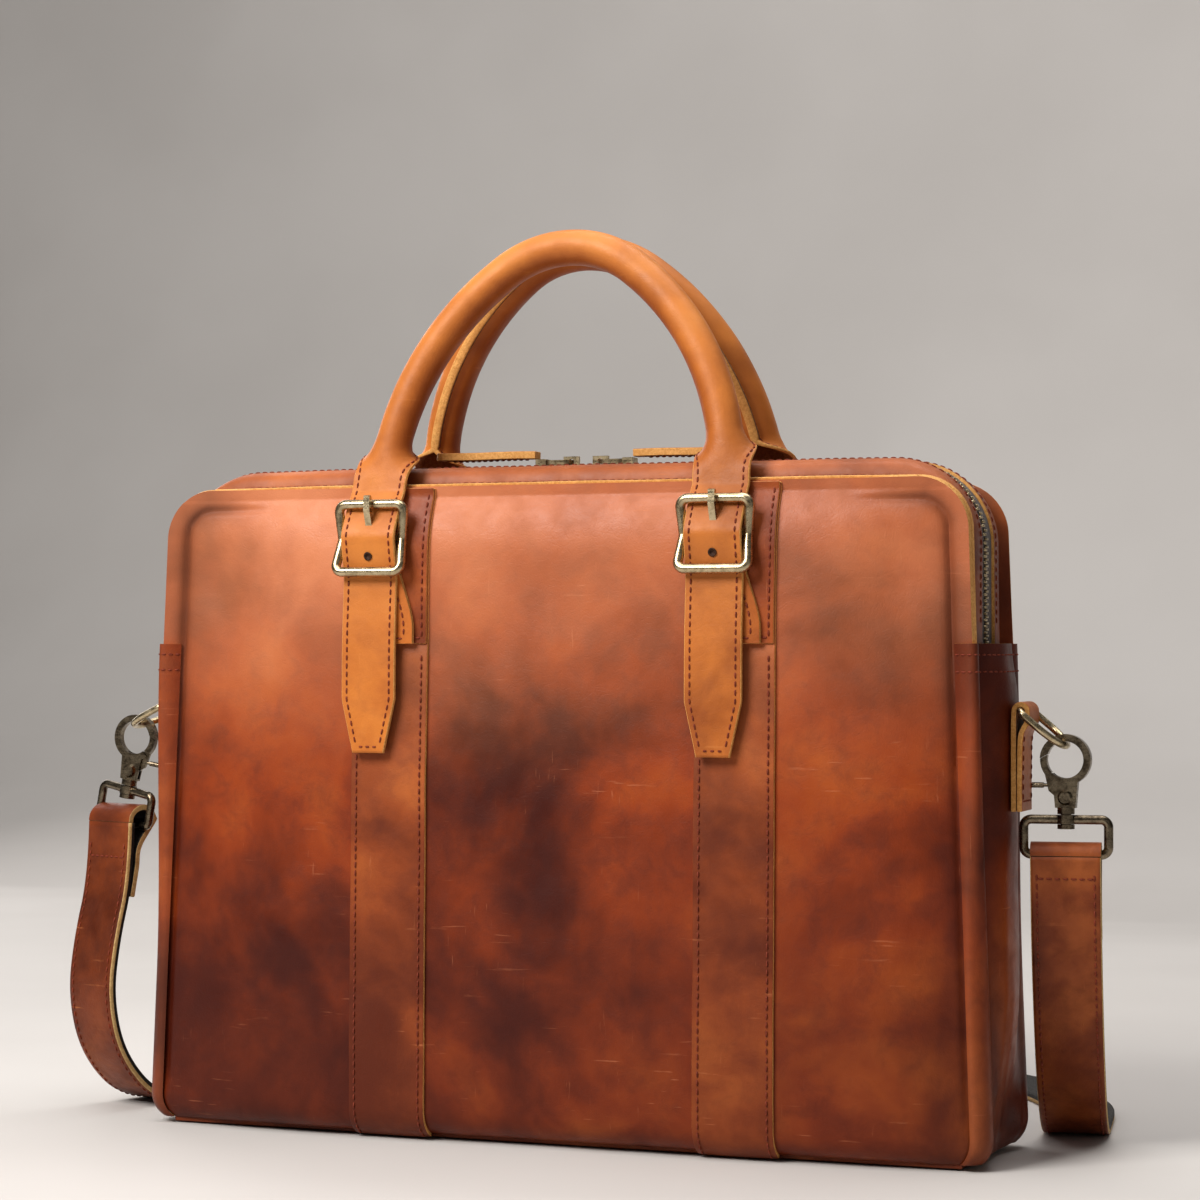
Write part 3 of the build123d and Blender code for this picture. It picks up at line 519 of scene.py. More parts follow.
def outline_half(z):
    """Half width at a height, with the top corners rounded."""
    low = SEAM_HEIGHT - CORNER
    if z <= low:
        return half_width(z)
    return half_width(z) - CORNER + sqrt(max(0, CORNER ** 2 - (z - low) ** 2))


def edge_distance(x, z):
    """Distance in from the sewn outline, over the sides and the top."""
    low = SEAM_HEIGHT - CORNER
    inner = half_width(z) - CORNER
    if z > low and abs(x) > inner:
        return CORNER - hypot(abs(x) - inner, z - low)
    return min(half_width(z) - abs(x), SEAM_HEIGHT - z)


def flange_out(z):
    """How far out the seam allowance stands at a height."""
    if z < ROLL_HEIGHT:
        full = outer_face(z) - ROLL_OUT
        return ROLL_OUT + full * FLANGE_FOOT / ROLL_RADIUS
    return min(outer_face(z), FLANGE_OUT + FLANGE_SPREAD * (SEAM_HEIGHT - z))


def bound(z):
    """1 where the side panels bind the seam allowance back, 0 above them."""
    return 1 - smooth(70, 224, z)


def lean(z):
    """How far the allowance leans forwards for each mm towards its edge."""
    return FREE_LEAN * (1 - bound(z)) + BOUND_LEAN * bound(z)


def near_side(x, z):
    """1 at the panel's side edges, 0 well inside it."""
    return 1 - smooth(16, 62, half_width(z) - abs(x))


def panel_out(face, x, z):
    """The soft panel's outer face: pillowed, creased at the seam, a little uneven."""
    full = outer_face(z)
    seam = flange_out(z)
    lateral = half_width(z) - abs(x) - FLANGE
    swell = 1 - (1 - min(max(lateral / SWELL_REACH, 0), 1)) ** SWELL_POWER
    out = seam + (full - seam) * swell
    d = edge_distance(x, z)
    low_fade = smooth(8, 34, z)
    at_side = near_side(x, z)
    crease = exp(-((d - FLANGE - 0.4) / CREASE_WIDTH) ** 2)
    out -= (0.04 + CREASE_DEPTH * at_side) * crease * low_fade
    if d < FLANGE:
        out += (FLANGE - d) * lean(z) * (0.12 + 0.88 * at_side)
    # Waves in the free leather, calmer under the bands.
    inside = smooth(FLANGE, FLANGE + 45, d)
    bands = (BAND_SHIFT - STRAP_X, BAND_SHIFT + STRAP_X)
    calm = 1 - 0.75 * max(exp(-((x - band) / 22) ** 2) for band in bands)
    seed = 3.1 if face > 0 else 17.7
    out += inside * calm * sum(depth * wobble(x, 0, z, each, seed) for depth, each in WAVES)
    # A dimple and a fold below each top corner.
    for side in (-1, 1):
        a = side * x
        out -= 2.4 * exp(-((a - 163) / 15) ** 2 - ((z - 250) / 21) ** 2)
        out += 1.0 * exp(-((a - 168 + (z - 270) * 0.4) / 7) ** 2 - ((z - 268) / 12) ** 2)
    return out


def at_face(face, x, out, z):
    """The point x across and out from the middle plane, as seen from outside a face."""
    return (face * x, -face * out, z)


def roll_heights(angles):
    return [ROLL_HEIGHT - ROLL_RADIUS * sin(radians(a)) for a in angles]


def panel_rows():
    """Heights of a panel's rows, from the tucked-under edge to the seam."""
    roll = roll_heights(np.linspace(90, 0, 13))
    wall = list(np.linspace(ROLL_HEIGHT, SEAM_HEIGHT - CORNER, 96))[1:]
    top = [SEAM_HEIGHT - CORNER + CORNER * sin(radians(a)) for a in np.linspace(0, 90, 31)[1:]]
    return roll + wall + top


def panel_columns():
    """Places across a panel, -1 to 1, close together where the crease is."""
    edge = np.concatenate([np.linspace(0, 13, 14), [15, 17.5, 20.5]]) / 200
    return np.concatenate([-1 + edge, np.linspace(-1 + 24 / 200, 1 - 24 / 200, 140),
                           1 - edge[::-1]])


for face, face_name in FACES:
    rows, rub, painted_shade = [], [], []
    for z in panel_rows():
        row, row_rub_and_highlight, row_painted_shade = [], [], []
        for u in panel_columns():
            x = u * (outline_half(z) - 3 * bound(z))
            row.append(at_face(face, x, panel_out(face, x, z), z))
            d = edge_distance(x, z)
            at_side = near_side(x, z)
            near = exp(-((d - FLANGE) / 4) ** 2) * at_side
            # Paler towards the top and most at the upper left: rubs of the pull-up leather, and
            # painted highlight where light falls from above and the left.
            high = smooth(150, 282, z)
            row_rub_and_highlight.append(0.95 * high * (1 - 0.5 * near)
                           * (0.65 + 0.5 * exp(-((x + 110) / 70) ** 2)))
            # Painted shade: darker towards the bottom, at the side edges (more on the right as
            # seen from outside the face), and in the crease by the seam.
            low = 1 - smooth(0, 200, z)
            sides = exp(-(max(d, 0) / 20) ** 2) * (0.75 if x > 0 else 0.45)
            row_painted_shade.append(min(1, 0.85 * low + sides * (1 - 0.5 * high) * at_side
                                 + 0.85 * near))
        rows.append(row)
        rub.append(row_rub_and_highlight)
        painted_shade.append(row_painted_shade)
    slab(f"{face_name}_panel_leather", rows, 1, LEATHER, [SHELL, EDGE, FLESH],
         [f"{face_name}_panel"], {"rub": rub, "painted_shade": painted_shade})


# ---- bands sewn down both panels, with a second layer above ----
STRAPS = [(face, face * side * STRAP_X, f"{face_name}_{side_name}")
          for face, face_name in FACES for side, side_name in SIDES]
BAND_HALF = 18.25
BAND_LIFT, TOP_LIFT, TOP_LAYER = 2.1, 2.45, 222.0
SEAM_INSET = 2.7


def profile_normal(z):
    """Outward direction (out, up) of the panel's face at a height."""
    if z < ROLL_HEIGHT:
        s = (z - ROLL_HEIGHT) / ROLL_RADIUS
        return sqrt(max(0, 1 - s * s)), s
    if z <= WALL_TOP:
        s = (z - ROLL_HEIGHT) / WALL_RADIUS
        return sqrt(1 - s * s), s
    s = (min(z, SHOULDER_TOP) - SHOULDER[1]) / SHOULDER_RADIUS
    s *= 1 - smooth(282, 290, z)
    return sqrt(1 - s * s), s


def on_panel(face, x, z, lift):
    """A point lifted off the panel's face."""
    out, up = profile_normal(z)
    return np.array(at_face(face, x, panel_out(face, x, z) + out * lift, z + up * lift))


def panel_normal(face, z):
    out, up = profile_normal(z)
    return np.array([0, -face * out, up])


for face, x_strap, strap_name in STRAPS:
    x_mid = x_strap + BAND_SHIFT
    heights = roll_heights(range(72, 0, -6)) + list(np.linspace(ROLL_HEIGHT, 292.0, 120))
    rows, rub, painted_shade = [], [], []
    for z in heights:
        lift = BAND_LIFT - 0.8 * smooth(216, 224, z)
        across = np.linspace(-BAND_HALF, BAND_HALF, 15)
        rows.append([on_panel(face, x_mid + a, z, lift - 0.35 * (abs(a) / BAND_HALF) ** 4)
                     for a in across])
        # Paler towards the top: rubs and painted highlight. Painted shade: darker towards the
        # bottom.
        high = 0.55 * smooth(120, 280, z)
        rub.append([high] * len(across))
        painted_shade.append([0.75 * (1 - smooth(0, 180, z))] * len(across))
    slab(f"{strap_name}_band_leather", rows, 1, 2.0, [TRIM, EDGE, FLESH],
         [f"{strap_name}_band"], {"rub": rub, "painted_shade": painted_shade})
    rows = []
    for z in np.linspace(TOP_LAYER, 292.2, 44):
        across = np.linspace(-BAND_HALF + 0.5, BAND_HALF - 0.5, 15)
        rows.append([on_panel(face, x_mid + a, z,
                              TOP_LIFT - 0.25 * (abs(a) / BAND_HALF) ** 4) for a in across])
    slab(f"{strap_name}_band_top", rows, 1, 1.1, [TRIM, EDGE, FLESH], rim=0.3)
    seam_low = TOP_LAYER + 2.5
    reach = BAND_HALF - SEAM_INSET
    low = [z for z in heights if 3 < z < TOP_LAYER - 3]
    high = list(np.linspace(seam_low, 290, 30))
    for x in (x_mid - reach, x_mid + reach):
        for run, lift in ((low, BAND_LIFT), (high, TOP_LIFT)):
            stitches("bag", [on_panel(face, x, z, lift) for z in run],
                     [panel_normal(face, z) for z in run])
    across = np.linspace(x_mid - reach, x_mid + reach, 12)
    stitches("bag", [on_panel(face, x, seam_low, TOP_LIFT) for x in across],
             [panel_normal(face, seam_low)] * len(across))


# ---- handles: one strap from tail to tail, rolled round a core and sewn into a fin ----
HINGE_OUT, HINGE_Z, HANDLE_LEAN = 39.0, 292.6, radians(11.5)
HANDLE_HEIGHT, LEG_ARC = 112.5, 128.0
STRAP_HALF, STRAP_THICK, ROLLED_HALF = 13.0, 2.2, 25.4
# The roll: its middle radius, then the bend out into the fin, and the fin's flat.
ROLL_MIDDLE, FIN_BEND, FIN_TURN, FIN_FLAT = 7.0, 2.1, radians(81), 2.3
RIM = 0.35
BUCKLE_OUT, BUCKLE_Z = 46.4, 269.0
TAIL_TIP, TAIL_OUT, TIP_HALF, TIP_TAPER = 173.0, 50.4, 7.6, 24.0
LEG_CENTRE = STRAP_X - LEG_ARC
CROWN_ARC = (LEG_ARC ** 2 - LEG_CENTRE ** 2 - HANDLE_HEIGHT ** 2) / (
    2 * (LEG_ARC - HANDLE_HEIGHT))
CROWN_CENTRE = HANDLE_HEIGHT - CROWN_ARC
JOIN = atan2(CROWN_CENTRE, -LEG_CENTRE)
UP = np.array([0, sin(HANDLE_LEAN), cos(HANDLE_LEAN)])
OUT = np.array([0, -cos(HANDLE_LEAN), sin(HANDLE_LEAN)])
TAIL_ROUTE = [(TAIL_OUT, TAIL_TIP), (50.2, 198), (49.8, 224), (48.4, 245), (48.1, 252.6),
              (50.7, 266), (50.7, 272), (44.2, 283.9), (40.4, 289.5)]


def strap_line():
    """The strap's middle line on the front, from the right tail's tip to the left's."""
    points = [(STRAP_X, -out, z) for out, z in TAIL_ROUTE]
    arc = []
    for a in np.linspace(0, JOIN, 16):
        arc.append((LEG_CENTRE + LEG_ARC * cos(a), LEG_ARC * sin(a)))
    for a in np.linspace(JOIN, pi / 2, 8)[1:]:
        arc.append((CROWN_ARC * cos(a), CROWN_CENTRE + CROWN_ARC * sin(a)))
    arc = arc[:1] + arc[2:]
    base = np.array([0, -HINGE_OUT, HINGE_Z])
    points += [tuple(base + np.array([x, 0, 0]) + UP * h) for x, h in arc]
    points += [(-x, y, z) for x, y, z in points[-2::-1]]
    line = spline(points, 400)
    ahead = unit(np.gradient(line, axis=0))
    height = (line - base) @ UP
    return line, ahead, height


SECTION_POINTS = 20
# Materials round the section: good side, rim, back, and the same on the other half.
STRAP_RING = [0] * (SECTION_POINTS - 1) + [1] * 3 + [2] * (SECTION_POINTS - 1)
STRAP_RING += STRAP_RING[::-1]


def half_section(k, half):
    """Middle line of half the strap's section, rolled by k: points, directions, run."""
    length = half + (ROLLED_HALF - STRAP_HALF) * k * k
    straight, bend = FIN_FLAT * k, FIN_BEND * k
    curl = length - straight - bend
    ends = np.linspace(0, length, SECTION_POINTS)
    fine = np.linspace(0, length, 241)
    turn = -k / ROLL_MIDDLE * np.minimum(fine, curl)
    if k > 0:
        turn = turn + FIN_TURN * k * np.clip((fine - curl) / max(bend, 1e-6), 0, 1)
    step = length / 240
    x = np.concatenate([[0], np.cumsum(np.cos(turn[:-1]) * step)])
    y = np.concatenate([[0], np.cumsum(np.sin(turn[:-1]) * step)])
    return *(np.interp(ends, fine, values) for values in (x, y, turn)), ends


def strap_section(k, half):
    """The closed ring of a section, and the middle of its stitch line (point, normal)."""
    x, y, turn, run = half_section(k, half)
    nx, ny = -np.sin(turn), np.cos(turn)
    t = STRAP_THICK / 2 + 0.7 * k * smooth(run[-1] - 5.0, run[-1] - 3.0, run)
    x[-1] -= RIM * cos(turn[-1])
    y[-1] -= RIM * sin(turn[-1])
    outer = list(zip(x + nx * t, y + ny * t))
    inner = list(zip(x - nx * t, y - ny * t))
    ex, ey = x[-1] + RIM * cos(turn[-1]), y[-1] + RIM * sin(turn[-1])
    rim = [(ex + nx[-1] * t[-1] * q, ey + ny[-1] * t[-1] * q) for q in (0.65, -0.65)]
    right = outer[1:] + rim + inner[:0:-1]
    left = [(-a, b) for a, b in right[::-1]]
    ring = [outer[0]] + right + [inner[0]] + left
    mark_x, mark_y, mark_turn, mark_t = (np.interp(run[-1] - 2.6, run, values)
                                         for values in (x, y, turn, t))
    mark_normal = (-sin(mark_turn), cos(mark_turn))
    mark_point = (mark_x + mark_normal[0] * mark_t, mark_y + mark_normal[1] * mark_t)
    return ring, mark_point, mark_normal


def over_hinge(piece):
    """Bakes the piece's transform into its mesh."""
    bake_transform(piece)


def rolled(height):
    """0 where the strap is flat, 1 where it is rolled, by height over the hinge."""
    return smooth(3, 26, height)


for face, face_name in FACES:
    line, ahead, height = strap_line()
    rings, rub, painted_shade, seams, seam_normals = [], [], [], ([], []), ([], [])
    turn = np.array([face, face, 1])
    for point, t, h in zip(line, ahead, height):
        side = unit(np.cross(t, OUT)) if h > 0 else np.array([np.sign(point[0]), 0, 0])
        normal = unit(np.cross(side, t))
        half = TIP_HALF + (STRAP_HALF - TIP_HALF) * min(1, (point[2] - TAIL_TIP) / TIP_TAPER)
        ring, mark, mark_normal = strap_section(rolled(h), half)
        lump = 0.22 * wobble(*point, 0.06, 5.0 * face) * rolled(h)
        rings.append([(point + side * a + normal * (b + lump)) * turn for a, b in ring])
        # Paler up the arch and less down the tails: rubs and painted highlight. Painted shade on
        # the underside of the rolled handle, which also gets less of the pale colour there.
        pale_share = 0.35 + 0.4 * smooth(20, 110, h) - 0.25 * smooth(250, 180, point[2])
        under = [rolled(h) * min(1, max(0, -a / 7)) for a, b in ring]
        rub.append([pale_share * (1 - q) for q in under])
        painted_shade.append(under)
        for way, seam, normals in zip((1, -1), seams, seam_normals):
            seam.append((point + side * way * mark[0] + normal * mark[1]) * turn)
            normals.append((side * way * mark_normal[0] + normal * mark_normal[1]) * turn)
    piece = loft(f"{face_name}_handle_strap", rings, [HANDLE, EDGE, FLESH], STRAP_RING,
                 None, parts={"rub": np.ravel(rub), "painted_shade": np.ravel(painted_shade)})
    over_hinge(piece)
    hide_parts(f"{face_name}_handle", f"{face_name}_left_strap_tail",
                f"{face_name}_right_strap_tail")
    for seam, normals in zip(seams, seam_normals):
        seam, normals = np.array(seam), np.array(normals)
        stitches(f"{face_name}_handle_strap", seam[3:-3], normals[3:-3])
    for x in (-STRAP_X, STRAP_X):
        tip = np.linspace(x - 5, x + 5, 5)
        out = TAIL_OUT + STRAP_THICK / 2
        stitches("bag", [(face * a, -face * out, TAIL_TIP + 2.8) for a in tip],
                 [(0, -face, 0)] * 5, pitch=2.6, length=1.9)

# ---- the spare hole punched in each tail ----
HOLE_OUT, HOLE_Z, HOLE_LEAN = 51.4, 261.2, radians(-14)

for face, x_strap, strap_name in STRAPS:
    rings = []
    for r, d in ((2.0, -0.05), (1.7, 0.12), (1.35, -0.02), (0.9, -0.25)):
        ring = []
        for a in np.linspace(0, 2 * pi, 28, endpoint=False):
            u, v = r * cos(a), r * sin(a)
            ring.append(at_face(face, x_strap + u,
                                HOLE_OUT + d - v * sin(HOLE_LEAN), HOLE_Z + v * cos(HOLE_LEAN)))
        rings.append(ring)
    # A shallow dish in the near-black hole colour: painted shade standing for the hole's depth.
    loft(f"{strap_name}_hole", rings, [HANDLE, HOLE_SHADE], [1] * 28, "bag")

# ---- chapes: leather folded round each buckle's centre bar ----
CHAPE_ROUND = 2.95


def chape_line():
    """(out, z) of the good side: up the front, over the bar, down the back."""
    def over_band(*places):
        return [(outer_face(z) + TOP_LIFT + gap, z) for z, gap in places]

    points = over_band((TOP_LAYER, 2.5), (232, 2.5), (244, 2.5), (252, 2.7))
    points += [(48.6, 261), (BUCKLE_OUT + CHAPE_ROUND, 267)]
    points += arc(BUCKLE_OUT, BUCKLE_Z, CHAPE_ROUND, range(0, 181, 30))
    points.append((BUCKLE_OUT - 3.0, 266))
    return spline(points + over_band((258, 0.05), (248, 0.05), (TOP_LAYER, 0.05)), 90)


for face, x_strap, strap_name in STRAPS:
    line = chape_line()
    rows = []
    for out, z in line:
        drift = BAND_SHIFT * (1 - smooth(228, 262, z))
        half = 12.2 - 0.4 * smooth(250, 266, z)
        middle = x_strap + drift
        rows.append([at_face(face, middle + a * half, out, z)
                     for a in np.linspace(-1, 1, 13)])
    slab(f"{strap_name}_chape_leather", rows, 1, 1.15, [HANDLE, EDGE, FLESH],
         [f"{strap_name}_chape"], rim=0.25)
    front = [i for i, (out, z) in enumerate(line) if z < 258 and 2 < i < 40]
    sew("bag", rows, 1, [(front, 2), (front, 10), np.s_[2, 2:11]])


# ---- lower side panels, wrapped over the seam allowance ----
SIDE_TOP = 221.0
GUSSET_LEATHER = 2.2


def side_line(z):
    """Plan of a side panel at a height: (x, y) from the front seam to the rear one.
    It mixes the shape over the free allowance, and the shape that binds it back."""
    seam = flange_out(z)
    edge = half_width(z)
    bulge = 190 + 12 * smooth(-30, 75, z) - 2.5 * smooth(196, 222, z)
    foot = min(edge - 4.6, bulge - 2)
    ridge = FLANGE * FREE_LEAN
    upright = [
        (edge - 8.4, seam + 0.5), (edge - 4.2, seam + 0.45 * ridge + 1.6),
        (edge + 0.6, seam + ridge + 1.5), (edge + 2.2, seam + ridge - 1.6),
        (edge + 0.4, seam - 4.6), (edge - 3.2, seam - 6.2),
        (foot + 0.2, seam - 9.0), (foot + 2.0 + 0.25 * (bulge - foot), seam - 14.5),
        (foot + 0.80 * (bulge - foot), seam - 23), (bulge - 0.4, 7),
    ]
    over = bulge - edge + 1.0
    back = [
        (edge - 8.2, seam + 0.6), (edge - 6.0, seam + 1.6), (edge - 2.6, seam - 0.2),
        (edge - 0.2, seam - 3.6), (edge + 0.2, seam - 7.4), (edge - 0.8, seam - 11),
        (edge - 1.0, seam - 13.5), (edge - 1.0 + 0.3 * over, seam - 18),
        (edge - 1.0 + 0.8 * over, seam - 25), (bulge - 0.4, 7),
    ]
    hold = bound(z)
    half = [(a * (1 - hold) + c * hold, b * (1 - hold) + d * hold)
            for (a, b), (c, d) in zip(upright, back)]
    points = [(x, -y) for x, y in half] + [(bulge, 0)] + half[::-1]
    return spline(points, 64)


for side, side_name in SIDES:
    rows, painted_shade, rub = [], [], []
    for z in np.concatenate([np.linspace(2.6, 20, 12), np.linspace(22, SIDE_TOP + 1, 84)]):
        row = []
        for x, y in side_line(z):
            inner = smooth(34, 18, abs(y))
            x += inner * (0.9 * wobble(side * 7, y, z, 0.022, 9.0))
            row.append((side * x, y, z))
        rows.append(row)
        # Painted shade: darker all over, more towards the bottom and along the fold 24 mm out
        # from the middle plane. A thin pale line runs along the ridge near each seam.
        low = 1 - smooth(5, 80, z)
        painted_shade.append([min(1, 0.45 + 0.5 * low + 0.45 * exp(-((abs(y) - 24) / 7) ** 2))
                      for x, y, _ in row])
        rub.append([0.15 * exp(-((abs(y) - 42) / 4) ** 2) for x, y, _ in row])
    slab(f"{side_name}_side_leather", rows, side, GUSSET_LEATHER, [SHELL, EDGE, FLESH],
         [f"{side_name}_side_panel"], {"painted_shade": painted_shade, "rub": rub})
    sew("bag", rows, side, (-3, -6), 3.2, 2.2, 0.75)

# ---- zip bands: seam allowance, gutter and rise to the zip ----
ZIP_SIDE, ZIP_TOP, ZIP_CORNER, ZIP_END = 179.0, 291.0, 26.0, 217.0


def zip_line(count):
    """(x, z) along the zip's path and the way out from it, left end to right end."""
    points = [(-ZIP_SIDE, z) for z in np.linspace(ZIP_END, ZIP_TOP - ZIP_CORNER, 30)[:-1]]
    points += arc(ZIP_CORNER - ZIP_SIDE, ZIP_TOP - ZIP_CORNER, ZIP_CORNER,
                  np.linspace(180, 90, 32))
    points += [(-x, z) for x, z in points[::-1]]
    line = resample(np.array(points), count)
    ahead = unit(np.gradient(line, axis=0))
    return line, np.stack([-ahead[:, 1], ahead[:, 0]], 1)


def rise_to_edge(point, way):
    """How far out from the zip's path the panels' sewn outline is."""
    low, high = -5.0, 40.0
    for _ in range(30):  # halves the span each time
        middle = (low + high) / 2
        x, z = point + way * middle
        if z < SEAM_HEIGHT and edge_distance(x, z) > 0:
            low = middle
        else:
            high = middle
    return low


def band_section(point, way):
    """(out, rise) of a zip band's good side, from the seam allowance's edge to the zip."""
    edge = rise_to_edge(point, way)
    z = min(point[1] + way[1] * edge, SEAM_HEIGHT)
    shift = flange_out(z) - FLANGE_OUT
    ridge = FLANGE * lean(z)
    b = edge - 6.5
    up = 11.6 - b
    points = [
        (29.6 + shift + ridge, edge + 1.3), (29.7 + shift + 0.45 * ridge, edge - 4.5),
        (29.2 + shift, edge - 8.0), (28.0 + shift, edge - 9.2),
        (26.9 + 0.8 * shift, edge - 8.4), (26.2 + 0.6 * shift, b), (26.4, b + 0.32 * up),
        (25.9, b + 0.58 * up), (23.8, b + 0.82 * up), (19.5, b + 0.95 * up),
        (15, b + 0.99 * up), (11, b + up),
    ]
    return spline(points, 34)


line, ways = zip_line(220)
for face, face_name in FACES:
    rows, painted_shade, rub = [], [], []
    for (x, z), way in zip(line, ways):
        section = band_section(np.array([x, z]), way)
        wave = 0.45 * wobble(x, face * 30, z, 0.02, 2.0)
        rows.append([(x + way[0] * (rise + wave * (rise > 0)), -face * out,
                      z + way[1] * (rise + wave * (rise > 0))) for out, rise in section])
        # Painted shade, light along the top and full down the bag's sides; paler along the top:
        # rubs and painted highlight.
        side = smooth(285, 255, z)
        painted_shade.append([0.75 * side + 0.25] * len(section))
        rub.append([0.35 * (1 - side)] * len(section))
    slab(f"{face_name}_zip_leather", rows, -face, 2.2, [TRIM, EDGE, EDGE],
         [f"{face_name}_zip_band"], {"painted_shade": painted_shade, "rub": rub})
    sew("bag", rows, -face, (np.s_[6:-6, 18], np.s_[6:-6, 30]))

# ---- zip tape and teeth ----
rows = []
for (x, z), way in zip(line, ways):
    rows.append([(x + way[0] * rise, y, z + way[1] * rise)
                 for y, rise in ((-14, 9.0), (-11, 9.3), (-8, 9.2), (-5, 9.1), (-2, 9.0),
                                 (2, 9.0), (5, 9.1), (8, 9.2), (11, 9.3), (14, 9.0))])
slab("zip_cloth_tape", rows, 1, 0.8, [TAPE, TAPE, TAPE], ["zip_tape"], rim=0)

# A tooth in sections: how far across the zip, half width along it, half height.
TOOTH = ((-0.9, 0.30, 0.45), (-0.6, 0.50, 0.75), (0.9, 0.42, 0.80), (2.2, 0.55, 0.95),
         (2.9, 0.40, 0.6))
TOOTH_RISE = 10.0
verts, faces = [], []
line, ways = zip_line(352)
for i, ((x, z), way) in enumerate(zip(line, ways)):
    hand = 1 if i % 2 else -1
    ahead = np.array([way[1], 0, -way[0]])
    up = np.array([way[0], 0, way[1]])
    across = np.array([0, hand, 0])
    base = len(verts)
    centre = np.array([x, 0, z]) + up * TOOTH_RISE
    for y, w, h in TOOTH:
        for a, b in ((-1, -1), (1, -1), (1, 1), (-1, 1)):
            verts.append(centre + across * y + ahead * a * w + up * b * h)
    faces += [face[::hand] for face in tube_faces(len(TOOTH), 4, base)]
put("zip_tooth_rows", verts, faces, [ZIP_METAL], [0] * len(faces), "bag", ["zip_teeth"])

# ---- base ----
BASE_HALF_DEPTH, BASE_HALF_WIDTH = 36, 187
rows = []
for y in np.linspace(-BASE_HALF_DEPTH, BASE_HALF_DEPTH, 30):
    turned_up = 0.4 * smooth(BASE_HALF_DEPTH - 8, BASE_HALF_DEPTH, abs(y))
    rows.append([(x, y, 0.15 + 0.25 * abs(wobble(x, y, 0, 0.02)) + turned_up)
                 for x in np.linspace(-BASE_HALF_WIDTH, BASE_HALF_WIDTH, 120)])
# Painted shade: the base is darkened all over.
slab("base_leather", rows, -1, 2.2, [SHELL, TRIM, FLESH], ["base_panel"],
     {"painted_shade": np.full((30, 120), 0.8)})

# ---- side tabs ----
DRING_OUT, DRING_Z, DRING_DEPTH = 206.4, 193.0, 23.0
TAB_FOOT, TAB_LOW, TAB_ROUND = 202.05, 150.0, 4.05
points = [(TAB_FOOT + 5.0, TAB_LOW), (TAB_FOOT + 5.1, 168), (TAB_FOOT + 5.6, 182),
          (DRING_OUT + 3.9, DRING_Z - 5)]
points += arc(DRING_OUT, DRING_Z, TAB_ROUND, range(0, 181, 30))
points += [(TAB_FOOT + 0.2, DRING_Z - 4), (TAB_FOOT + 0.1, 178), (TAB_FOOT + 0.1, TAB_LOW)]
line = spline(points, 70)
front = [i for i, (out, z) in enumerate(line) if z < 184 and 2 < i < 35]
for side, side_name in SIDES:
    rows = [[(side * out, side * a * (9.8 - 0.5 * smooth(186, 198, z)), z)
             for a in np.linspace(-1, 1, 11)] for out, z in line]
    slab(f"{side_name}_tab_leather", rows, 1, 2.35, [HANDLE, EDGE, FLESH],
         [f"{side_name}_tab"])
    sew("bag", rows, 1, [(front, 1), (front, 9), np.s_[3, 1:10]])

# ---- zip pulls ----
for side, side_name in SIDES:
    box = np.array(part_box(f"{side_name}_pull_leather")) * 1000
    near, far = (box[1][0], box[0][0]) if side < 0 else (box[0][0], box[1][0])
    middle_z = (box[0][2] + box[1][2]) / 2
    rows = []
    for t in np.linspace(0, 1, 40):
        half = 3.5 + 2.0 * t
        if t > 0.93:  # the rounded tip
            half *= sqrt(max(0.05, 1 - ((t - 0.93) / 0.08) ** 2))
        rows.append([(near + (far - near) * t, a * half, middle_z + 1.75 + 0.14 * sin(t * 7))
                     for a in np.linspace(-1, 1, 9)])
    slab(f"{side_name}_pull_strip", rows, side, 3.5, [HANDLE, EDGE, HANDLE],
         [f"{side_name}_pull_leather"], body=f"{side_name}_pull", rim=0.5)
    sew(f"{side_name}_pull", rows, side, (np.s_[4:36, 1], np.s_[4:36, 7]), 3.0, 2.2, 0.7)

# ---- shoulder strap: one strip from ring to ring, in the order of its route ----
WEB_HALF, WEB_LIFT, WEB_SEAM = 15.0, 2.0, 12.2
# An end of the strap: its side; in degrees, its ring's tilt, the hook's turn and the D-ring's
# droop; and how far its fold stands off the ring's bar at the back.
ENDS = {"left": (-1, 10.0, 20.0, 26.0, 5.2), "right": (1, 0.0, -8.6, 40.0, 2.5)}
HOOK_DROP, BAR_DROP = 6.0, 40.6
# (behind the bar, height) of the strap's control points on its way down to the floor.
DROP_POINTS = {
    "left": [(-7.2, None), (-8, 110), (-16, 82), (-20, 54), (-12, 25), (12, 2), (52, 2)],
    "right": [(-4.5, None), (-1, 104), (9, 74), (24, 44), (44, 18), (70, 2), (96, 2)],
}


def drop_frame(name):
    """A drop's origin on the floor, the way behind the bag, the strap's level width, and the
    height of its ring's bar."""
    side, *angles, _ = ENDS[name]
    tilt, turn, droop = np.radians(angles)
    centre = np.array([
        side * (DRING_OUT + DRING_DEPTH * cos(droop) + HOOK_DROP * sin(tilt)), 0,
        DRING_Z - DRING_DEPTH * sin(droop) - HOOK_DROP * cos(tilt),
    ])
    x_dir = np.array([side * cos(tilt), 0, sin(tilt)])
    z_dir = np.array([0, -side, 0])
    bar = centre - np.cross(z_dir, x_dir) * BAR_DROP
    across = x_dir * cos(turn) + z_dir * sin(turn)
    level = unit(np.array([across[0], across[1], 0])) * side
    behind = np.cross([0, 0, 1], level)
    return np.array([bar[0], bar[1], 0]), behind, level, bar[2]


def drop_points(name):
    origin, behind, _, bar_z = drop_frame(name)
    return [origin + behind * u + np.array([0, 0, bar_z - 0.4 if v is None else v])
            for u, v in DROP_POINTS[name]]


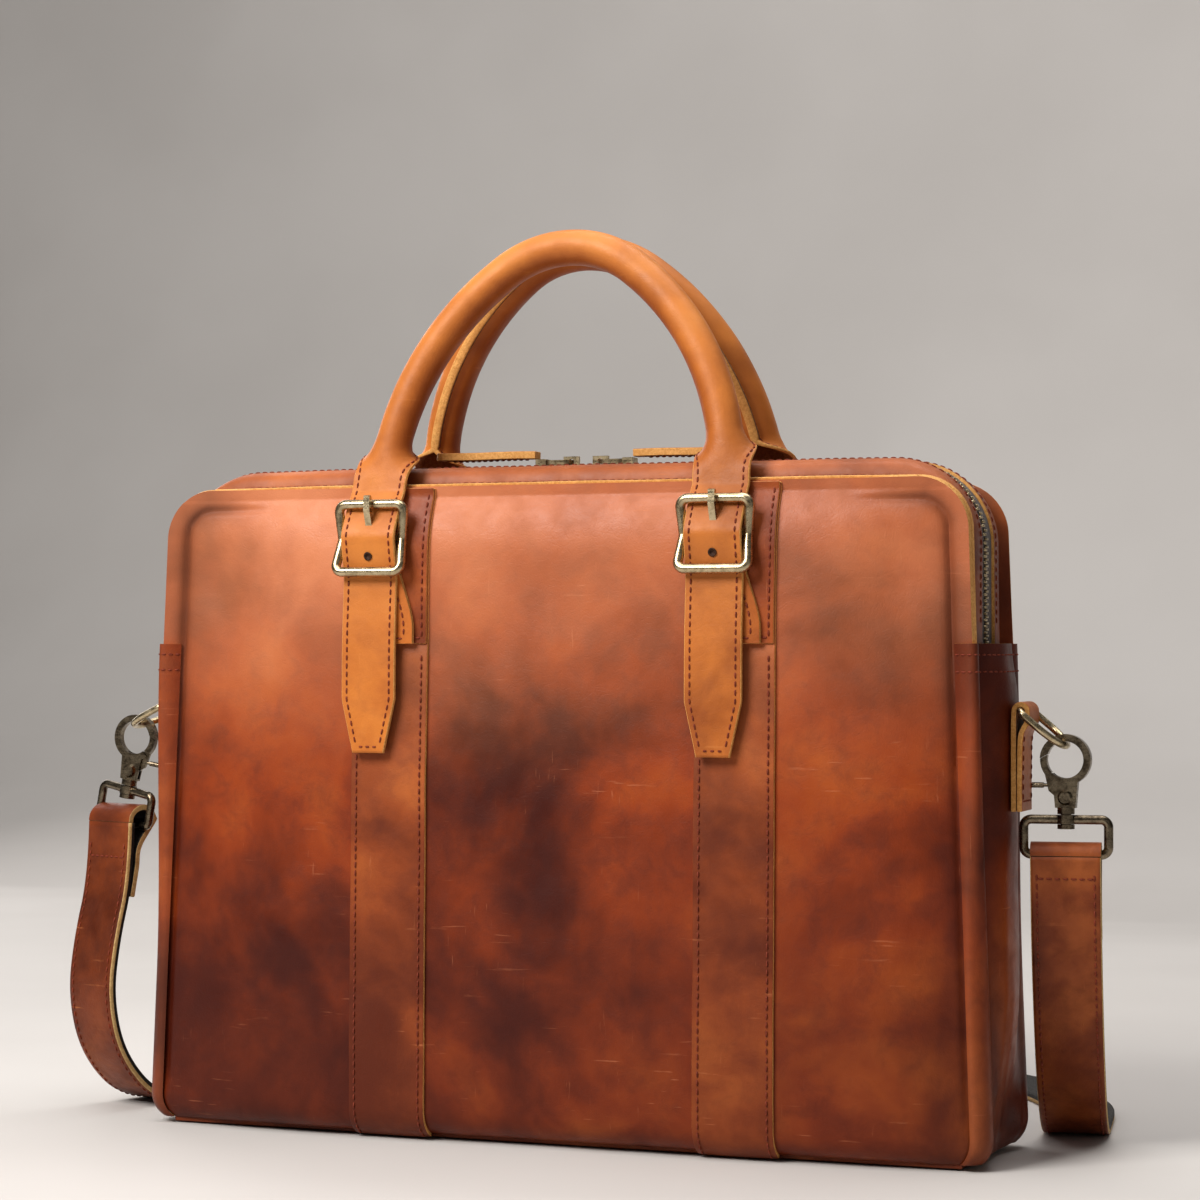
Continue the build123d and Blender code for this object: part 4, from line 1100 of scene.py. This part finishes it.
left_foot, left_behind, left_level, _ = drop_frame("left")
right_foot, right_behind, _, _ = drop_frame("right")
FLOOR_POINTS = [
    left_foot + left_behind * 102, (-160, 185, 2), (-104, 236, 2), (-36, 262, 2),
    (40, 266, 2), (112, 244, 2), (168, 200, 2), right_foot + right_behind * 146,
]
ROUTE = drop_points("left")
ROUTE += [np.array([p[0], p[1], WEB_LIFT]) for p in FLOOR_POINTS]
ROUTE += drop_points("right")[::-1]


def nurbs_points(route):
    """Points along the smooth NURBS line that has the route as its control points."""
    curve = bpy.data.curves.new("strap_route", "CURVE")
    curve.dimensions = "3D"
    curve.resolution_u = 16
    run = curve.splines.new("NURBS")
    run.points.add(len(route) - 1)
    for point, place in zip(run.points, route):
        point.co = (*(np.array(place) / 1000), 1)
    run.order_u = 3
    run.use_endpoint_u = True
    holder = bpy.data.objects.new("strap_route", curve)
    scene.collection.objects.link(holder)
    mesh = evaluated_mesh(holder)
    points = np.array([v.co[:] for v in mesh.vertices]) * 1000
    bpy.data.objects.remove(holder)
    bpy.data.curves.remove(curve)
    bpy.data.meshes.remove(mesh)
    return points


path = resample(nurbs_points(ROUTE), 420)
ahead = unit(np.gradient(path, axis=0))
level = [-left_level]
for t in ahead[1:]:
    flat = np.cross([0, 0, 1], t)
    if np.linalg.norm(flat) < 0.08:  # too near upright to say which way is level
        level.append(level[-1])
    else:
        level.append(unit(flat) * (1 if flat @ level[-1] > 0 else -1))
level = np.array(level)
# The strap's section, and the material of each of its sides: good side, edge, backing.
WEB_RING = [(-15, 0.0), (-15, 1.3), (-14.6, 1.9), (-13.4, 2.0), (-7, 2.0), (0, 2.0), (7, 2.0),
            (13.4, 2.0), (14.6, 1.9), (15, 1.3), (15, 0.0), (15, -1.4), (14.7, -1.95),
            (13.4, -2.0), (7, -2.0), (0, -2.0), (-7, -2.0), (-13.4, -2.0), (-14.7, -1.95),
            (-15, -1.4)]
WEB_WHICH = [1, 1, 0, 0, 0, 0, 0, 0, 1, 1, 2, 2, 2, 2, 2, 2, 2, 2, 2, 2]
rings, seams, seam_normals = [], ([], []), ([], [])
for point, t, side in zip(path, ahead, level):
    face_up = unit(np.cross(side, t))
    rings.append([point + side * a + face_up * b for a, b in WEB_RING])
    for hand, seam, normals in zip((1, -1), seams, seam_normals):
        seam.append(point + side * hand * WEB_SEAM + face_up * WEB_LIFT)
        normals.append(face_up)
strap = loft("shoulder_strap_leather", rings, [STRAP, PALE_EDGE, BLACK_BACK], WEB_WHICH, "bag",
             ["shoulder_strap", "left_strap_drop", "right_strap_drop"])
for seam, normals in zip(seams, seam_normals):
    stitches("bag", seam[4:-3], normals[4:-3], 3.9, 2.8)
for i in (7, -5):
    facing = seam_normals[0][i]
    across = np.linspace(-WEB_SEAM, WEB_SEAM, 9)
    stitches("bag", [path[i] + level[i] * a + facing * WEB_LIFT for a in across],
             [facing] * 9, 3.4, 2.5)

# ---- folded ends of the strap ----
FOLD_ROUND = 2.95
for name in ("left", "right"):
    origin, behind, side, bar_z = drop_frame(name)
    room = ENDS[name][-1] + FOLD_ROUND
    top, above, below = DROP_POINTS[name][:3]
    front = WEB_LIFT - top[0]

    def strap_u(z):
        return np.interp(z, (below[1], above[1], bar_z), (below[0], above[0], top[0]))

    points = [(-front, bar_z - 0.3)]
    for a in range(165, -1, -15):
        reach = front if a > 90 else room
        points.append((reach * cos(radians(a)), bar_z + room * sin(radians(a))))
    points += [(strap_u(bar_z - down) + gap, bar_z - down)
               for down, gap in ((12, 6.6), (22, 5.2), (36, 5.1))]
    line = spline(points, 60)
    rows = [[origin + behind * u + side * a * WEB_HALF + np.array([0, 0, v])
             for a in np.linspace(-1, 1, 13)] for u, v in line]
    slab(f"{name}_fold_leather", rows, 1, 2.8, [STRAP, PALE_EDGE, BLACK_BACK],
                      [f"{name}_strap_fold"])
    sew("bag", rows, 1, [np.s_[-4, 1:12]], 3.4, 2.5)

# ---- padded divider for a laptop ----
low, high = np.array(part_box("laptop_divider")) * 1000
middle, reach = (low + high) / 2, (high - low) / 2
ROUND_PAD = 160
rings = []
for v in np.sin(np.linspace(-pi / 2, pi / 2, 60)):
    ring = []
    for a in np.linspace(0, 2 * pi, ROUND_PAD, endpoint=False):
        u = cos(a)
        plump = ((1 - abs(u) ** 8) * (1 - abs(v) ** 8)) ** 0.4
        channel = 0.22 * exp(-((abs(u * 2.5 % 1 - 0.5) - 0.5) / 0.03) ** 2)
        fill = max(0.12, plump * (1 - channel)) * np.sign(sin(a))
        ring.append(middle + reach * np.array([u, fill, v]))
    rings.append(ring)
pad = loft("divider_padding", rings, [LINING], [0] * ROUND_PAD, "bag", ["laptop_divider"])

# ---- finishes of the fittings ----
FINISHES = (
    (BRASS, ("_buckle", "_prong", "_d_ring")),
    (BRONZE, ("_hook", "_gate", "_rivet", "_strap_ring")),
    (ZIP_METAL, ("_slider", "_pull_ring")),
    (ROPE, ("_handle_core",)),
    (LINING, ("lining", "slip_pocket")),
    (BOARD, ("base_board",)),
)
for name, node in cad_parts.items():
    for finish, endings in FINISHES:
        if name.endswith(endings):
            for place in node.material_slots:
                place.material = finish

# ---- floor ----
floor_rows = []
for y, z in spline([(-9000, 0), (-3000, 0), (700, 0), (1500, 0), (2100, 260), (2350, 1200),
                    (2400, 2600)], 90):
    floor_rows.append([(x, y, z - 0.25) for x in np.linspace(-9000, 9000, 30)])
g = Graph("studio_paper")
tone = g.mix(g.ramp(g.noise(3, 3, 0.5), 0.3, 0.7), (0.56, 0.535, 0.515), (0.60, 0.575, 0.555))
g.bump((g.noise(400, 3, 0.6), 0.0003, 0.2))
paper = g.finish(tone, 0.85)
floor_rows = np.array(floor_rows)
m, n, _ = floor_rows.shape
floor_faces = [(i * n + j, i * n + j + 1, (i + 1) * n + j + 1, (i + 1) * n + j)
               for i in range(m - 1) for j in range(n - 1)]
floor = put("studio_floor", floor_rows.reshape(-1, 3), floor_faces, [paper],
            [0] * len(floor_faces), None)

sew_all()
